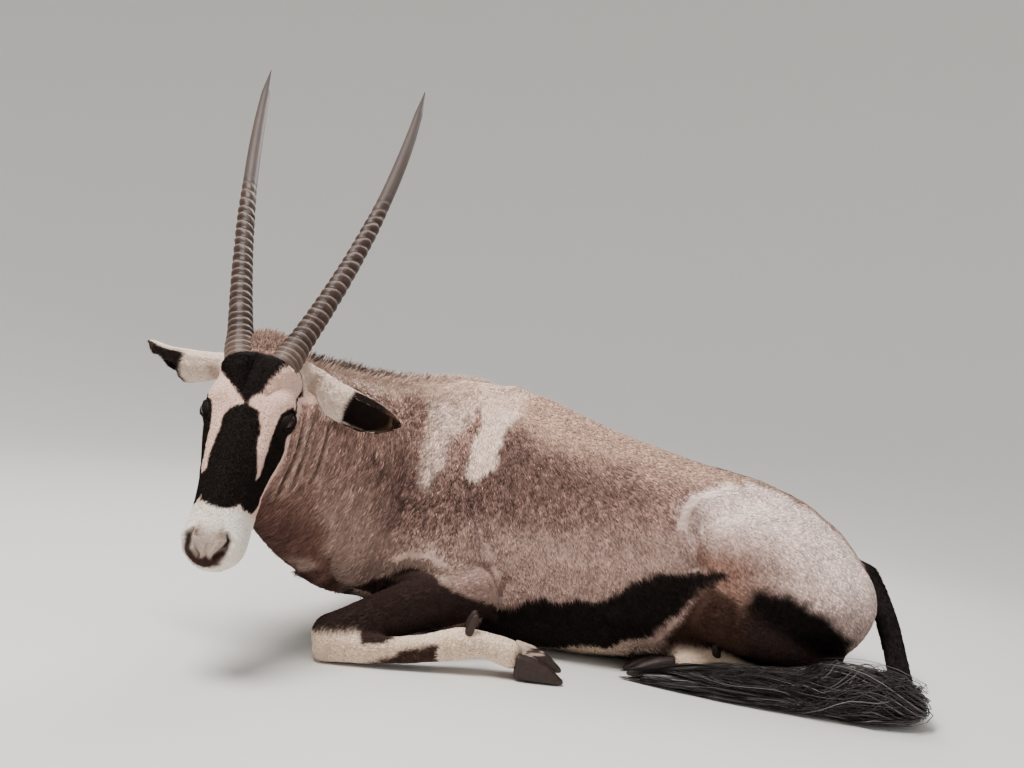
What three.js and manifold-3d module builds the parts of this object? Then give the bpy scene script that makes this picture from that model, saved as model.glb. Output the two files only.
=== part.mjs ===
// A gemsbok lying on its chest with its legs folded, its head turned to its left and its tail laid forward.
// Millimetres. +X runs towards the tail, -Y to the animal's left, +Z up. The origin is the point of the
// breastbone that rests on the floor.
import * as THREE from "three";
import { mergeVertices } from "three/addons/utils/BufferGeometryUtils.js";
import Module from "manifold-3d";

const wasm = await Module();
wasm.setup();

// Driving sizes
const GAP = 0.4; // space kept between neighbouring pieces
const FLOOR = 0;
const HORN_RINGS = 22;
const HORN_SIDES = 7;
const EYE_RADIUS = 17.5;
const CLAW_LENGTH = 100;

// Where the head sits: the middle of the horn bases, the way down the face and the way to its left
const POLL = new THREE.Vector3(-414, -456, 542);
const FACE_DOWN = new THREE.Vector3(-0.05, -0.417, -0.908).normalize();
const HEAD_LEFT = new THREE.Vector3(1, -0.065, 0.014);
const FACE_OUT = new THREE.Vector3().crossVectors(FACE_DOWN, HEAD_LEFT).normalize();
HEAD_LEFT.crossVectors(FACE_OUT, FACE_DOWN).normalize();
const HEAD_AXES = [HEAD_LEFT, FACE_OUT, FACE_DOWN];

// A point given as [to the head's left, out of the face, down the face]
function onHead([left, out, down]) {
  return POLL.clone()
    .addScaledVector(HEAD_LEFT, left)
    .addScaledVector(FACE_OUT, out)
    .addScaledVector(FACE_DOWN, down);
}

// Solids and meshes

function solidOf(geometry) {
  const bare = geometry.index ? geometry.toNonIndexed() : geometry.clone();
  for (const name of Object.keys(bare.attributes)) if (name !== "position") bare.deleteAttribute(name);
  const merged = mergeVertices(bare, 1e-4);
  return new wasm.Manifold(
    new wasm.Mesh({
      numProp: 3,
      vertProperties: merged.attributes.position.array,
      triVerts: new Uint32Array(merged.index.array),
    }),
  );
}

function geometryOf(solid) {
  const mesh = solid.getMesh();
  const geometry = new THREE.BufferGeometry();
  geometry.setAttribute("position", new THREE.BufferAttribute(mesh.vertProperties, 3));
  geometry.setIndex(new THREE.BufferAttribute(mesh.triVerts, 1));
  return geometry;
}

function largest(solid) {
  return solid.decompose().sort((a, b) => b.volume() - a.volume())[0];
}

// The value at t of a smooth curve through rows of numbers
function between(rows, t) {
  const i = Math.min(Math.floor(t), rows.length - 2);
  const s = t - i;
  const [p0, p1, p2, p3] = [i - 1, i, i + 1, i + 2].map(
    (k) => rows[Math.max(0, Math.min(rows.length - 1, k))],
  );
  return p1.map(
    (_, k) =>
      0.5 *
      (2 * p1[k] +
        (p2[k] - p0[k]) * s +
        (2 * p0[k] - 5 * p1[k] + 4 * p2[k] - p3[k]) * s * s +
        (3 * p1[k] - p0[k] - 3 * p2[k] + p3[k]) * s * s * s),
  );
}

const power = (value, exponent) => Math.sign(value) * Math.abs(value) ** exponent;

// A closed body through stations [x, y, z, half-width, above, below, upper exponent, lower exponent].
// up is the direction of each section's top, ends are the depths of the rounded ends.
function loft(stations, { rings, sides, up = [0, 0, 1], ends = [10, 10], grow = 0, shape, turn = 0 }) {
  const rows = stations.map((s) => (s.length === 8 ? s : [...s.slice(0, 6), s[6] ?? 2, s[7] ?? s[6] ?? 2]));
  const upward = new THREE.Vector3(...up);
  const last = rows.length - 1;
  const sections = [];
  const step = 1e-3;
  const at = (t) => new THREE.Vector3(...between(rows, t).slice(0, 3));
  for (let r = 0; r <= rings; r++) {
    const t = (last * r) / rings;
    const [x, y, z, w, a, b, ea, eb] = between(rows, t);
    const along = at(Math.min(last, t + step)).sub(at(Math.max(0, t - step))).normalize();
    const side = new THREE.Vector3().crossVectors(along, upward).normalize();
    const top = new THREE.Vector3().crossVectors(side, along).normalize();
    sections.push({ centre: new THREE.Vector3(x, y, z), along, side, top, w, a, b, ea, eb });
  }
  const scaled = (s, way, depth, angle) => ({
    ...s,
    centre: s.centre.clone().addScaledVector(s.along, way * (depth + grow) * Math.sin(angle)),
    w: s.w * Math.cos(angle),
    a: s.a * Math.cos(angle),
    b: s.b * Math.cos(angle),
  });
  const domed = [
    scaled(sections[0], -1, ends[0], Math.PI / 3.2),
    ...sections,
    scaled(sections[rings], 1, ends[1], Math.PI / 3.2),
  ];
  const points = [];
  const reshape = (p) => (shape ? shape(p) : p);
  for (const s of domed)
    for (let k = 0; k < sides; k++) {
      const angle = (2 * Math.PI * (k + turn)) / sides;
      const [c, h] = [Math.cos(angle), Math.sin(angle)];
      const exponent = 2 / (h >= 0 ? s.ea : s.eb);
      points.push(
        reshape(
          s.centre
            .clone()
            .addScaledVector(s.side, power(c, exponent) * (s.w + grow))
            .addScaledVector(s.top, power(h, exponent) * ((h >= 0 ? s.a : s.b) + grow)),
        ),
      );
    }
  const poles = [0, 1].map((end) => {
    const s = sections[end * rings];
    return reshape(s.centre.clone().addScaledVector(s.along, (end ? 1 : -1) * (ends[end] + grow)));
  });
  const faces = [];
  const count = domed.length;
  for (let r = 0; r < count - 1; r++)
    for (let k = 0; k < sides; k++) {
      const next = (k + 1) % sides;
      const [p, q, s, t] = [r * sides + k, r * sides + next, (r + 1) * sides + next, (r + 1) * sides + k];
      faces.push(p, s, q, p, t, s);
    }
  for (let k = 0; k < sides; k++) {
    const next = (k + 1) % sides;
    faces.push(count * sides, k, next);
    faces.push(count * sides + 1, (count - 1) * sides + next, (count - 1) * sides + k);
  }
  return closed([...points, ...poles], faces);
}

function closed(points, faces) {
  const geometry = new THREE.BufferGeometry();
  geometry.setAttribute(
    "position",
    new THREE.BufferAttribute(new Float32Array(points.flatMap((p) => p.toArray())), 3),
  );
  geometry.setIndex(faces);
  const solid = solidOf(geometry);
  if (solid.volume() > 0) return solid;
  for (let i = 0; i < faces.length; i += 3) [faces[i + 1], faces[i + 2]] = [faces[i + 2], faces[i + 1]];
  geometry.setIndex(faces);
  return solidOf(geometry);
}

// A shape function that pushes points near each centre: [centre, reach, push] as three-number rows
function swellings(list) {
  return (p) => {
    const moved = p.clone();
    for (const [centre, reach, push] of list) {
      const far = [p.x, p.y, p.z].reduce((sum, v, k) => sum + ((v - centre[k]) / reach[k]) ** 2, 0);
      moved.addScaledVector(new THREE.Vector3(...push), Math.exp(-far));
    }
    return moved;
  };
}

// A flat tapered lock from root through bends, closed and pointed: points along it, a width and a thickness
function lock(path, flatWay, width, thickness) {
  const points = [];
  const faces = [];
  const last = path.length - 1;
  path.forEach((p, i) => {
    const along = path[Math.min(last, i + 1)].clone().sub(path[Math.max(0, i - 1)]).normalize();
    const across = new THREE.Vector3().crossVectors(along, flatWay).normalize();
    const out = new THREE.Vector3().crossVectors(across, along).normalize();
    const full = i === last ? 0 : Math.sin(Math.PI * (0.28 + (0.66 * i) / last)) * 0.5;
    if (i === last) points.push(p.clone());
    else
      for (const [a, o] of [[1, 0], [0, 1], [-1, 0], [0, -1]])
        points.push(
          p.clone().addScaledVector(across, a * full * width).addScaledVector(out, o * full * thickness),
        );
  });
  for (let i = 0; i < last - 1; i++)
    for (let k = 0; k < 4; k++) {
      const n = (k + 1) % 4;
      faces.push(4 * i + k, 4 * i + n, 4 * i + 4 + n, 4 * i + k, 4 * i + 4 + n, 4 * i + 4 + k);
    }
  for (let k = 0; k < 4; k++) faces.push(4 * (last - 1) + k, 4 * (last - 1) + ((k + 1) % 4), 4 * last);
  faces.push(0, 2, 1, 0, 3, 2);
  return closed(points, faces);
}

// A seeded draw between 0 and 1, so that the locks vary but come out the same each time
function draws(seed) {
  let state = seed;
  return () => {
    state = (state * 1664525 + 1013904223) % 4294967296;
    return state / 4294967296;
  };
}

// Trunk: [x, y, z of the widest level, half-width, above, below, exponents]
const TRUNK = [
  [-258, -6, 215, 122, 140, 130, 2, 2],
  [-205, -4, 232, 150, 236, 208, 1.9, 2.1],
  [-120, 0, 232, 160, 318, 238, 1.75, 2.3],
  [-26, 0, 222, 176, 354, 232, 1.65, 2.5],
  [70, 0, 215, 200, 347, 225, 1.75, 2.5],
  [160, 0, 208, 222, 335, 218, 1.85, 2.5],
  [290, 0, 200, 245, 301, 210, 1.95, 2.5],
  [440, 0, 195, 256, 273, 203, 2.05, 2.4],
  [560, 0, 200, 240, 249, 205, 2.1, 2.3],
  [680, 0, 205, 205, 224, 203, 2.0, 2.2],
  [790, 0, 200, 172, 186, 180, 2.0, 2.1],
  [880, 0, 182, 136, 132, 142, 2.0, 2.0],
  [930, 0, 168, 92, 94, 104, 2.0, 2.0],
];
// Neck from inside the chest to inside the head
const NECK = [
  [-40, -2, 315, 108, 222, 240, 1.8, 2.2],
  [-135, -42, 320, 132, 224, 262, 1.8, 2.0],
  [-222, -125, 340, 126, 196, 262, 1.85, 1.9],
  [-290, -225, 378, 112, 160, 238, 1.9, 1.85],
  [-345, -320, 418, 94, 124, 208, 2, 1.85],
  [-388, -398, 450, 80, 96, 176, 2, 1.9],
];
// Head: [down the face, half-width, level of the widest, above, below, exponents]
const HEAD = [
  [-62, 42, -86, 34, 46, 2.0, 2.0],
  [-35, 56, -76, 52, 76, 2.1, 1.8],
  [0, 64, -64, 60, 94, 2.3, 1.75],
  [36, 71, -59, 63, 102, 2.4, 1.75],
  [72, 75, -57, 62, 106, 2.4, 1.75],
  [108, 73, -56, 60, 102, 2.3, 1.8],
  [150, 66, -54, 57, 92, 2.2, 2.05],
  [200, 56, -51, 54, 80, 2.1, 2.2],
  [245, 49, -49, 50, 66, 2.15, 2.25],
  [285, 47, -47, 46, 54, 2.2, 2.25],
  [318, 49, -47, 42, 46, 2.2, 2.2],
  [342, 45, -49, 34, 38, 2.1, 2.2],
  [356, 34, -51, 22, 28, 2.0, 2.1],
];
// Shoulder and thigh, y given outwards from the middle plane
const SHOULDER = [
  [-58, 84, 445, 66, 40, 42],
  [-76, 112, 390, 104, 62, 62],
  [-96, 134, 310, 138, 82, 80],
  [-98, 150, 240, 152, 88, 84],
  [-72, 166, 185, 142, 84, 78],
  [-40, 180, 146, 122, 70, 62],
];
const THIGH = [
  [462, 190, 215, 50, 95, 55],
  [500, 172, 208, 86, 140, 80],
  [570, 160, 205, 115, 167, 115],
  [650, 148, 205, 134, 174, 140],
  [730, 140, 200, 142, 162, 150],
  [805, 127, 187, 131, 132, 146],
  [852, 112, 174, 107, 108, 126],
  [884, 98, 162, 80, 80, 98],
  [902, 90, 155, 54, 55, 66],
];

const outwards = (rows, side, shift = 0) => rows.map(([x, y, ...sizes]) => [x + shift, y * side, ...sizes]);

const trunk = (grow) => loft(TRUNK, { rings: 17, sides: 20, ends: [40, 36], grow });
const neck = (grow) => loft(NECK, { rings: 9, sides: 16, ends: [30, 14], grow });
const shoulder = (side) => (grow) =>
  loft(outwards(SHOULDER, side), { rings: 7, sides: 12, up: [0, side, 0], ends: [22, 34], grow });
const thigh = (side) => (grow) => loft(outwards(THIGH, side), { rings: 9, sides: 14, ends: [18, 15], grow });

// The lips stand out along the line of the mouth
const LIP_HEIGHT = 5;
const LIP_REACH = 14;
function lipSwell(p) {
  const from = p.clone().sub(POLL);
  const [left, out, down] = HEAD_AXES.map((axis) => from.dot(axis));
  const [corner, end] = [MOUTH[0][0], MOUTH[MOUTH.length - 1][0]];
  const share = Math.max(0, Math.min(1, (down - corner) / (end - corner)));
  const level = between(MOUTH, share * (MOUTH.length - 1))[1];
  const height = LIP_HEIGHT * Math.min(1, 4 * share) * Math.exp(-(((out - level) / LIP_REACH) ** 2));
  const away = onHead([Math.sign(left) * Math.min(1, Math.abs(left) / 20), 0, share * 0.6]).sub(POLL);
  return away.multiplyScalar(height);
}

function head(grow) {
  const rows = HEAD.map(([down, w, level, ...sizes]) => [...onHead([0, level, down]).toArray(), w, ...sizes]);
  const push = (left, out, down) => onHead([left, out, down]).sub(POLL).toArray();
  const at = (p) => onHead(p).toArray();
  const bumps = [];
  for (const s of [-1, 1]) {
    bumps.push([at([s * 68, -28, 84]), [26, 26, 26], push(s * 8, 6, 0)]);
    bumps.push([at([s * 66, -82, 140]), [24, 28, 40], push(s * 5, 0, 0)]);
    bumps.push([at([s * 32, -14, 328]), [18, 20, 24], push(s * 4, 3, 0)]);
  }
  const swell = swellings(bumps);
  const shape = (p) => swell(p).add(lipSwell(p));
  return loft(rows, { rings: 23, sides: 20, up: FACE_OUT.toArray(), ends: [16, 12], grow, shape });
}

// Features cut into and raised on the head

function ball(centre, radii, frame, segments = 10) {
  const geometry = new THREE.SphereGeometry(1, segments, Math.round(segments * 0.7));
  const matrix = new THREE.Matrix4().makeBasis(
    frame[0].clone().multiplyScalar(radii[0]),
    frame[1].clone().multiplyScalar(radii[1]),
    frame[2].clone().multiplyScalar(radii[2]),
  );
  matrix.setPosition(centre);
  geometry.applyMatrix4(matrix);
  return solidOf(geometry);
}

const eyeCentre = (s) => onHead([s * 63, -34, 102]);

function eye(s, grow) {
  return ball(eyeCentre(s), [EYE_RADIUS + grow, EYE_RADIUS + grow, EYE_RADIUS + grow], HEAD_AXES);
}

// Upper and lower lids: a swept ridge around the eye opening
function lids(s) {
  const sight = onHead([s * 0.9, 0.42, 0.05]).sub(POLL).normalize();
  const forwards = onHead([0, 0.35, 1]).sub(POLL);
  forwards.addScaledVector(sight, -forwards.dot(sight)).normalize();
  const upwards = new THREE.Vector3().crossVectors(forwards, sight).normalize();
  const centre = eyeCentre(s);
  const [length, height, ridge] = [EYE_RADIUS * 1.02, EYE_RADIUS * 0.62, 4.2];
  const steps = 14;
  const points = [];
  const faces = [];
  for (let i = 0; i < steps; i++) {
    const angle = (2 * Math.PI * i) / steps;
    const u = Math.cos(angle) * length;
    const v = Math.sin(angle) * height;
    const deep = Math.sqrt(Math.max(0, (EYE_RADIUS + 1) ** 2 - u * u - v * v));
    const spot = centre
      .clone()
      .addScaledVector(forwards, u)
      .addScaledVector(upwards, v)
      .addScaledVector(sight, Math.max(deep, 5) - 0.5);
    const away = new THREE.Vector3()
      .addScaledVector(forwards, Math.cos(angle))
      .addScaledVector(upwards, Math.sin(angle) * 1.3)
      .normalize();
    for (const [a, o] of [[-0.6, 0.2], [0.3, 1], [1.9, -0.2], [0.9, -2.2]])
      points.push(spot.clone().addScaledVector(away, a * ridge).addScaledVector(sight, o * ridge));
  }
  for (let i = 0; i < steps; i++)
    for (let k = 0; k < 4; k++) {
      const [n, j] = [(k + 1) % 4, (i + 1) % steps];
      faces.push(4 * i + k, 4 * i + n, 4 * j + n, 4 * i + k, 4 * j + n, 4 * j + k);
    }
  return closed(points, faces);
}

// A point on the front of the face, so far to the left of its middle line and so far down, sunk by depth
function onFace(left, down, depth) {
  let t = 0;
  while (between(HEAD, t)[0] < down) t += 0.02;
  const [, w, level, above, , exponent] = between(HEAD, t);
  const rise = above * (1 - Math.abs(left / w) ** exponent) ** (1 / exponent);
  return onHead([left, level + rise - depth, down]);
}

// A nostril: a comma that starts wide and high and curls down to the middle of the nose
const NOSTRIL = [
  [27, 318, 2.5],
  [32, 328, 5],
  [29, 339, 6.5],
  [20, 347, 5.5],
  [12, 353, 3],
];
const NOSTRIL_DEPTH = 11;
function nostril(s) {
  const rows = NOSTRIL.map(([left, down, size]) => [
    ...onFace(s * left, down, 0).toArray(),
    size,
    NOSTRIL_DEPTH,
    NOSTRIL_DEPTH,
  ]);
  return loft(rows, { rings: 6, sides: 6, up: onHead([s * 0.45, 1, 0.35]).sub(POLL).toArray(), ends: [2, 2] });
}

// The line of the mouth from its corner to the front of the lips: [down the face, out of it]
const MOUTH = [
  [232, -66],
  [262, -71],
  [300, -73],
  [335, -71],
  [385, -68],
];
const MOUTH_GAP = 4;

// The slit between the lips, a thin bent plate that ends in a point at the corner of the mouth
function mouthSlit() {
  const profile = new THREE.Shape();
  profile.moveTo(...MOUTH[0]);
  MOUTH.slice(1).forEach(([d, o]) => profile.lineTo(d, o + MOUTH_GAP / 2));
  MOUTH.slice(1).reverse().forEach(([d, o]) => profile.lineTo(d, o - MOUTH_GAP / 2));
  const width = 120;
  const geometry = new THREE.ExtrudeGeometry(profile, { depth: width, bevelEnabled: false });
  geometry.translate(0, 0, -width / 2);
  const basis = new THREE.Matrix4().makeBasis(FACE_DOWN, FACE_OUT, HEAD_LEFT.clone().negate());
  basis.setPosition(POLL);
  geometry.applyMatrix4(basis);
  return solidOf(geometry);
}

// Ears: a cupped leaf along a line from root to tip, opening the way it is told
function ear(s, grow) {
  const line = s > 0 ? EAR_LEFT : EAR_RIGHT;
  const outer = earShell(line, grow, 0);
  if (grow > 0) return outer;
  return largest(outer.subtract(earShell(line, 0, 1)));
}

const EAR_LEFT = {
  points: [[-368, -410, 516], [-332, -404, 502], [-276, -400, 478], [-217, -395, 458], [-160, -385, 450]],
  open: new THREE.Vector3(0.1, -0.93, -0.35),
  slim: [1, 1, 1],
};
const EAR_RIGHT = {
  points: [[-448, -412, 519], [-490, -402, 510], [-534, -384, 506], [-584, -350, 509], [-647, -306, 538]],
  open: new THREE.Vector3(-0.62, -0.2, -0.75),
  slim: [0.78, 0.66, 0.88],
};
// [share of the length, half-width, depth of the back, of the front]
const EAR_FORM = [
  [0, 28, 22, 14],
  [0.2, 35, 24, 17],
  [0.4, 33, 24, 26],
  [0.57, 34, 23, 34],
  [0.75, 33, 19, 25],
  [0.9, 21, 12, 11],
  [0.98, 7, 5, 3],
];

// slim narrows the first rows of the form towards the root
function earShell({ points, open, slim }, grow, hollow) {
  const curve = new THREE.CatmullRomCurve3(points.map((p) => new THREE.Vector3(...p)));
  const wall = 4.2;
  const form = hollow ? EAR_FORM.slice(3, 6) : EAR_FORM;
  const rows = form.map(([share, width, back, front], i) => {
    const w = hollow ? width : width * (slim[i] ?? 1);
    const p = curve.getPoint(share).addScaledVector(open, hollow ? 3 : 0);
    const inset = hollow * wall;
    return [...p.toArray(), w - inset * 1.4, hollow ? front + 30 : front, back - inset, 2, 2.1];
  });
  return loft(rows, { rings: hollow ? 4 : 8, sides: 10, up: open.toArray(), ends: [4, 3], grow });
}

// Horns: a ringed cone along a curve that bows outwards and back
const HORN_BOW = [52, 43];
const HORN_RINGED = 0.56;
// The horn's radius at every tenth of its length, without its rings
const HORN_TAPER = [23.6, 21, 19.4, 18, 16.6, 15.4, 14.6, 13.4, 11.8, 9.8, 1.2].map((radius) => [radius]);

function horn(s, grow) {
  const base = onHead([s * 41, -22, -4]);
  const foot = onHead([s * 34, -34, 30]);
  const tip = s > 0 ? new THREE.Vector3(-222, 61, 1214) : new THREE.Vector3(-579, 76, 1206);
  const bow = base.clone().lerp(tip, 0.5);
  bow.addScaledVector(HEAD_LEFT, s * HORN_BOW[s > 0 ? 0 : 1]).addScaledVector(FACE_OUT, -26);
  const curve = new THREE.QuadraticBezierCurve3(base, bow, tip);
  const ringed = HORN_RINGED;
  const loops = [[0, 0]];
  for (let i = 0; i < HORN_RINGS; i++) {
    const place = (k) => ringed * (0.35 * (k / HORN_RINGS) + 0.65 * (k / HORN_RINGS) ** 1.5) + 0.012;
    const height = 2.6 * Math.min(1, 0.4 + i / 5) * (i > HORN_RINGS - 4 ? (HORN_RINGS - i) / 4 : 1);
    loops.push([place(i + 0.1), -height * 0.5]);
    loops.push([place(i + 0.62), height]);
  }
  for (let i = 1; i <= 6; i++) loops.push([ringed + 0.03 + ((0.97 - ringed - 0.03) * i) / 6, 0]);
  const sides = HORN_SIDES;
  const points = [];
  const faces = [];
  const thickness = (t) => between(HORN_TAPER, t * (HORN_TAPER.length - 1))[0];
  const rows = [[-0.035, 0], ...loops];
  rows.forEach(([t, swell]) => {
    const centre = t < 0 ? foot : curve.getPointAt(t);
    const along = curve.getTangentAt(Math.max(0, t));
    const side = new THREE.Vector3().crossVectors(along, FACE_OUT).normalize();
    const front = new THREE.Vector3().crossVectors(side, along).normalize();
    const radius = thickness(Math.max(0, t)) + swell + grow;
    for (let k = 0; k < sides; k++) {
      const angle = (2 * Math.PI * k) / sides;
      const slope = t < 0 ? 0 : Math.sin(angle) * radius * 0.16;
      points.push(
        centre
          .clone()
          .addScaledVector(side, Math.cos(angle) * radius)
          .addScaledVector(front, Math.sin(angle) * radius * 1.06)
          .addScaledVector(along, -slope),
      );
    }
  });
  points.push(foot.clone().addScaledVector(curve.getTangentAt(0), -4 - grow));
  points.push(curve.getPointAt(1));
  const count = rows.length;
  for (let r = 0; r < count - 1; r++)
    for (let k = 0; k < sides; k++) {
      const next = (k + 1) % sides;
      const [p, q, u, v] = [r * sides + k, r * sides + next, (r + 1) * sides + next, (r + 1) * sides + k];
      faces.push(p, q, u, p, u, v);
    }
  for (let k = 0; k < sides; k++) {
    const next = (k + 1) % sides;
    faces.push(count * sides, next, k);
    faces.push(count * sides + 1, (count - 1) * sides + k, (count - 1) * sides + next);
  }
  return closed(points, faces);
}

// Legs, y given outwards from the middle plane
const FOREARM = [
  [58, 190, 132, 44, 50, 50],
  [20, 212, 124, 50, 58, 58],
  [-60, 252, 104, 46, 58, 54],
  [-135, 290, 80, 40, 50, 46],
  [-200, 324, 58, 34, 41, 40],
  [-243, 344, 44, 32, 37, 46],
];
const FORE_CANNON = [
  [-252, 358, 33, 25, 26, 34],
  [-190, 361, 31, 22, 26, 28],
  [-110, 354, 34, 21, 26, 26],
  [-50, 346, 42, 22, 27, 27],
  [-5, 339, 52, 26, 32, 31],
  [22, 336, 57, 27, 31, 31],
];
const FORE_PASTERN = [
  [6, 336, 57, 27, 30, 30],
  [50, 334, 58, 25, 25, 25],
  [90, 331, 50, 28, 26, 26],
  [122, 329, 42, 31, 28, 28],
];
const FORE_CORONET = 118;
const HIND_CORONET = 468;
const GASKIN = [
  [500, 232, 160, 52, 52, 52],
  [545, 236, 142, 58, 60, 56],
  [620, 234, 114, 50, 54, 50],
  [700, 224, 86, 37, 41, 40],
  [770, 212, 64, 27, 33, 33],
  [822, 204, 52, 26, 40, 54],
];
const HIND_CANNON = [
  [822, 206, 42, 24, 30, 44],
  [740, 208, 36, 20, 27, 28],
  [650, 210, 33, 19, 25, 26],
  [590, 210, 35, 21, 27, 28],
  [552, 209, 37, 26, 31, 32],
];
const HIND_PASTERN = [
  [562, 209, 37, 26, 29, 30],
  [530, 207, 40, 25, 25, 25],
  [495, 205, 37, 28, 26, 26],
  [464, 203, 33, 31, 28, 28],
];

const limb = (rows, side, shift, options) => (grow) => loft(outwards(rows, side, shift), { ...options, grow });

// One claw of a cloven hoof; way is the sign of the toe's direction along X, x the coronet's plane.
// [share of the length, drop, half-width, above, below]
const CLAW = [
  [-0.05, 2, 14, 25, 25],
  [0.3, -4, 15.5, 24, 25],
  [0.62, -11, 14, 18, 18],
  [0.86, -19, 10, 9, 10],
  [0.96, -23, 5, 5, 5],
];
function claw(x, y, z, way, lift) {
  const rows = CLAW.map(([share, down, ...sizes]) => [x + way * share * CLAW_LENGTH, y, z + down * lift, ...sizes]);
  return (grow) =>
    loft(rows, { rings: 4, sides: 8, ends: [4, 3], grow }).trimByPlane([way, 0, 0], way * x + GAP / 2 - grow);
}

function dewclaw(x, y, z, way) {
  const rows = [
    [x, y, z - 14, 8, 9, 9],
    [x + way * 4, y, z + 4, 7.5, 8.5, 8.5],
    [x + way * 10, y, z + 20, 6, 6.5, 6.5],
  ];
  return (grow) => loft(rows, { rings: 2, sides: 5, up: [way, 0, 0.2], ends: [2, 4], grow });
}

// Tail, from the dock to the end of the bone
const TAIL = [
  [905, 0, 258, 27, 24, 24],
  [950, -12, 252, 28, 25, 25],
  [976, -48, 210, 25, 22, 22],
  [982, -106, 154, 24, 21, 21],
  [967, -180, 103, 23, 20, 20],
  [946, -246, 67, 24, 21, 21],
  [930, -290, 46, 26, 24, 24],
];
// The tuft: [x, y, z, half-width, above, below]
const TUFT = [
  [942, -280, 42, 36, 32, 38],
  [915, -304, 38, 72, 54, 41],
  [870, -318, 34, 86, 58, 37],
  [800, -318, 31, 78, 50, 33],
  [720, -314, 29, 68, 40, 31],
  [640, -305, 27, 60, 33, 29],
  [560, -294, 24, 52, 30, 26],
  [480, -278, 19, 40, 24, 21],
  [410, -262, 12, 24, 15, 14],
  [358, -250, 6, 9, 7, 8],
];

const TUFT_LOCKS = 16;

// The tuft: a flattened core with long flat locks laid along it, their tips standing a little clear
function tuft(grow) {
  let solid = loft(TUFT, { rings: 9, sides: 9, ends: [8, 6], grow });
  if (grow > 0) return solid;
  const draw = draws(19);
  const last = TUFT.length - 1;
  const spot = (t, angle, lift) => {
    const [x, y, z, w, above] = between(TUFT, Math.min(last, t));
    const ahead = between(TUFT, Math.min(last, t) - 0.05);
    const along = new THREE.Vector3(x - ahead[0], y - ahead[1], 0).normalize();
    const across = new THREE.Vector3(along.y, -along.x, 0);
    return new THREE.Vector3(x, y, z)
      .addScaledVector(across, Math.cos(angle) * (w + lift))
      .setZ(z + Math.sin(angle) * (above + lift))
      .addScaledVector(along, Math.max(0, t - last) * 60);
  };
  for (let i = 0; i < TUFT_LOCKS; i++) {
    const start = 0.4 + (6.6 * i) / TUFT_LOCKS + 0.3 * draw();
    const angle = Math.PI * (0.06 + 0.88 * (((i * 5) % 7) / 6));
    const turn = (draw() - 0.5) * 0.5;
    const length = 2.4 + 0.5 * draw();
    const path = [-9, 1, 5, 9].map((lift, k) => spot(start + (length * k) / 3, angle + (turn * k) / 3, lift));
    const out = spot(start, angle, 10).sub(spot(start, angle, 0)).normalize();
    solid = solid.add(lock(path, out, 56, 18));
  }
  return solid;
}

// Mane along the crest: [x, y, z, half-width, above, below]
const MANE = [
  [-372, -396, 520, 12, 10, 30],
  [-352, -350, 524, 14, 16, 34],
  [-296, -246, 520, 15, 18, 36],
  [-214, -140, 520, 15, 20, 36],
  [-122, -52, 528, 16, 20, 36],
  [-50, -8, 546, 15, 18, 30],
  [16, 0, 552, 12, 12, 26],
];
const MANE_LOCKS = 23;
const MANE_HEIGHT = 46;

// A core ridge with two rows of short flat locks that stand up and lean back
function mane(grow) {
  let solid = loft(MANE, { rings: 8, sides: 6, ends: [8, 10], turn: 0.5, grow });
  if (grow > 0) return solid;
  const draw = draws(7);
  for (let i = 0; i < MANE_LOCKS; i++) {
    const t = 0.7 + ((MANE.length - 2.15) * i) / (MANE_LOCKS - 1);
    const foot = new THREE.Vector3(...between(MANE, t).slice(0, 3));
    const back = new THREE.Vector3(...between(MANE, t + 0.1).slice(0, 3)).sub(foot).setZ(0).normalize();
    const across = new THREE.Vector3(-back.y, back.x, 0).multiplyScalar(i % 2 ? 1 : -1);
    const height = MANE_HEIGHT * (0.86 + 0.2 * draw()) * Math.min(1, 0.5 + 0.5 * (MANE.length - 1.3 - t));
    const path = [
      [0, -8, 3],
      [3, 0.42 * height, 6],
      [12 + 4 * draw(), 0.8 * height, 7],
      [26 + 6 * draw(), height, 6 + 4 * draw()],
    ].map(([b, up, side]) => foot.clone().addScaledVector(back, b).addScaledVector(across, side).setZ(foot.z + up));
    solid = solid.add(lock(path, across, 38, 14));
  }
  return solid;
}

const MATERIALS = {
  coat: [0x9a8a7c, 0.85],
  white: [0xe6ddcf, 0.85],
  black: [0x1d1917, 0.8],
  horn: [0x5a4a40, 0.5],
  hoof: [0x34302d, 0.45],
  eye: [0x1a100a, 0.1],
};

// The flesh of the trunk, neck and head is one form, later parted by plane cuts
const flesh = (grow) =>
  [shoulder(-1), shoulder(1), thigh(-1), thigh(1), neck, head, mane].reduce((sum, f) => sum.add(f(grow)), trunk(grow));

const finished = [];
const touching = (a, b) => {
  const [p, q] = [a.boundingBox(), b.boundingBox()];
  return [0, 1, 2].every((k) => p.min[k] < q.max[k] && q.min[k] < p.max[k]);
};
const aboveFloor = (solid) => solid.trimByPlane([0, 0, 1], FLOOR);

// A piece gives way, by the gap, to those before it
function carved(solid) {
  let rest = solid;
  for (const { grown } of finished) if (touching(rest, grown)) rest = rest.subtract(grown);
  return rest;
}
function piece(name, material, make) {
  finished.push({ name, material, solid: largest(aboveFloor(carved(make(0)))), grown: make(GAP) });
}

for (const [word, s] of [["left", 1], ["right", -1]]) piece("eye_" + word, "eye", (grow) => eye(s, grow));
const body = aboveFloor(
  carved(flesh(0).add(lids(1)).add(lids(-1)))
    .subtract(mouthSlit())
    .subtract(nostril(1))
    .subtract(nostril(-1)),
);
finished.push({ grown: flesh(GAP) });

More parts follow.
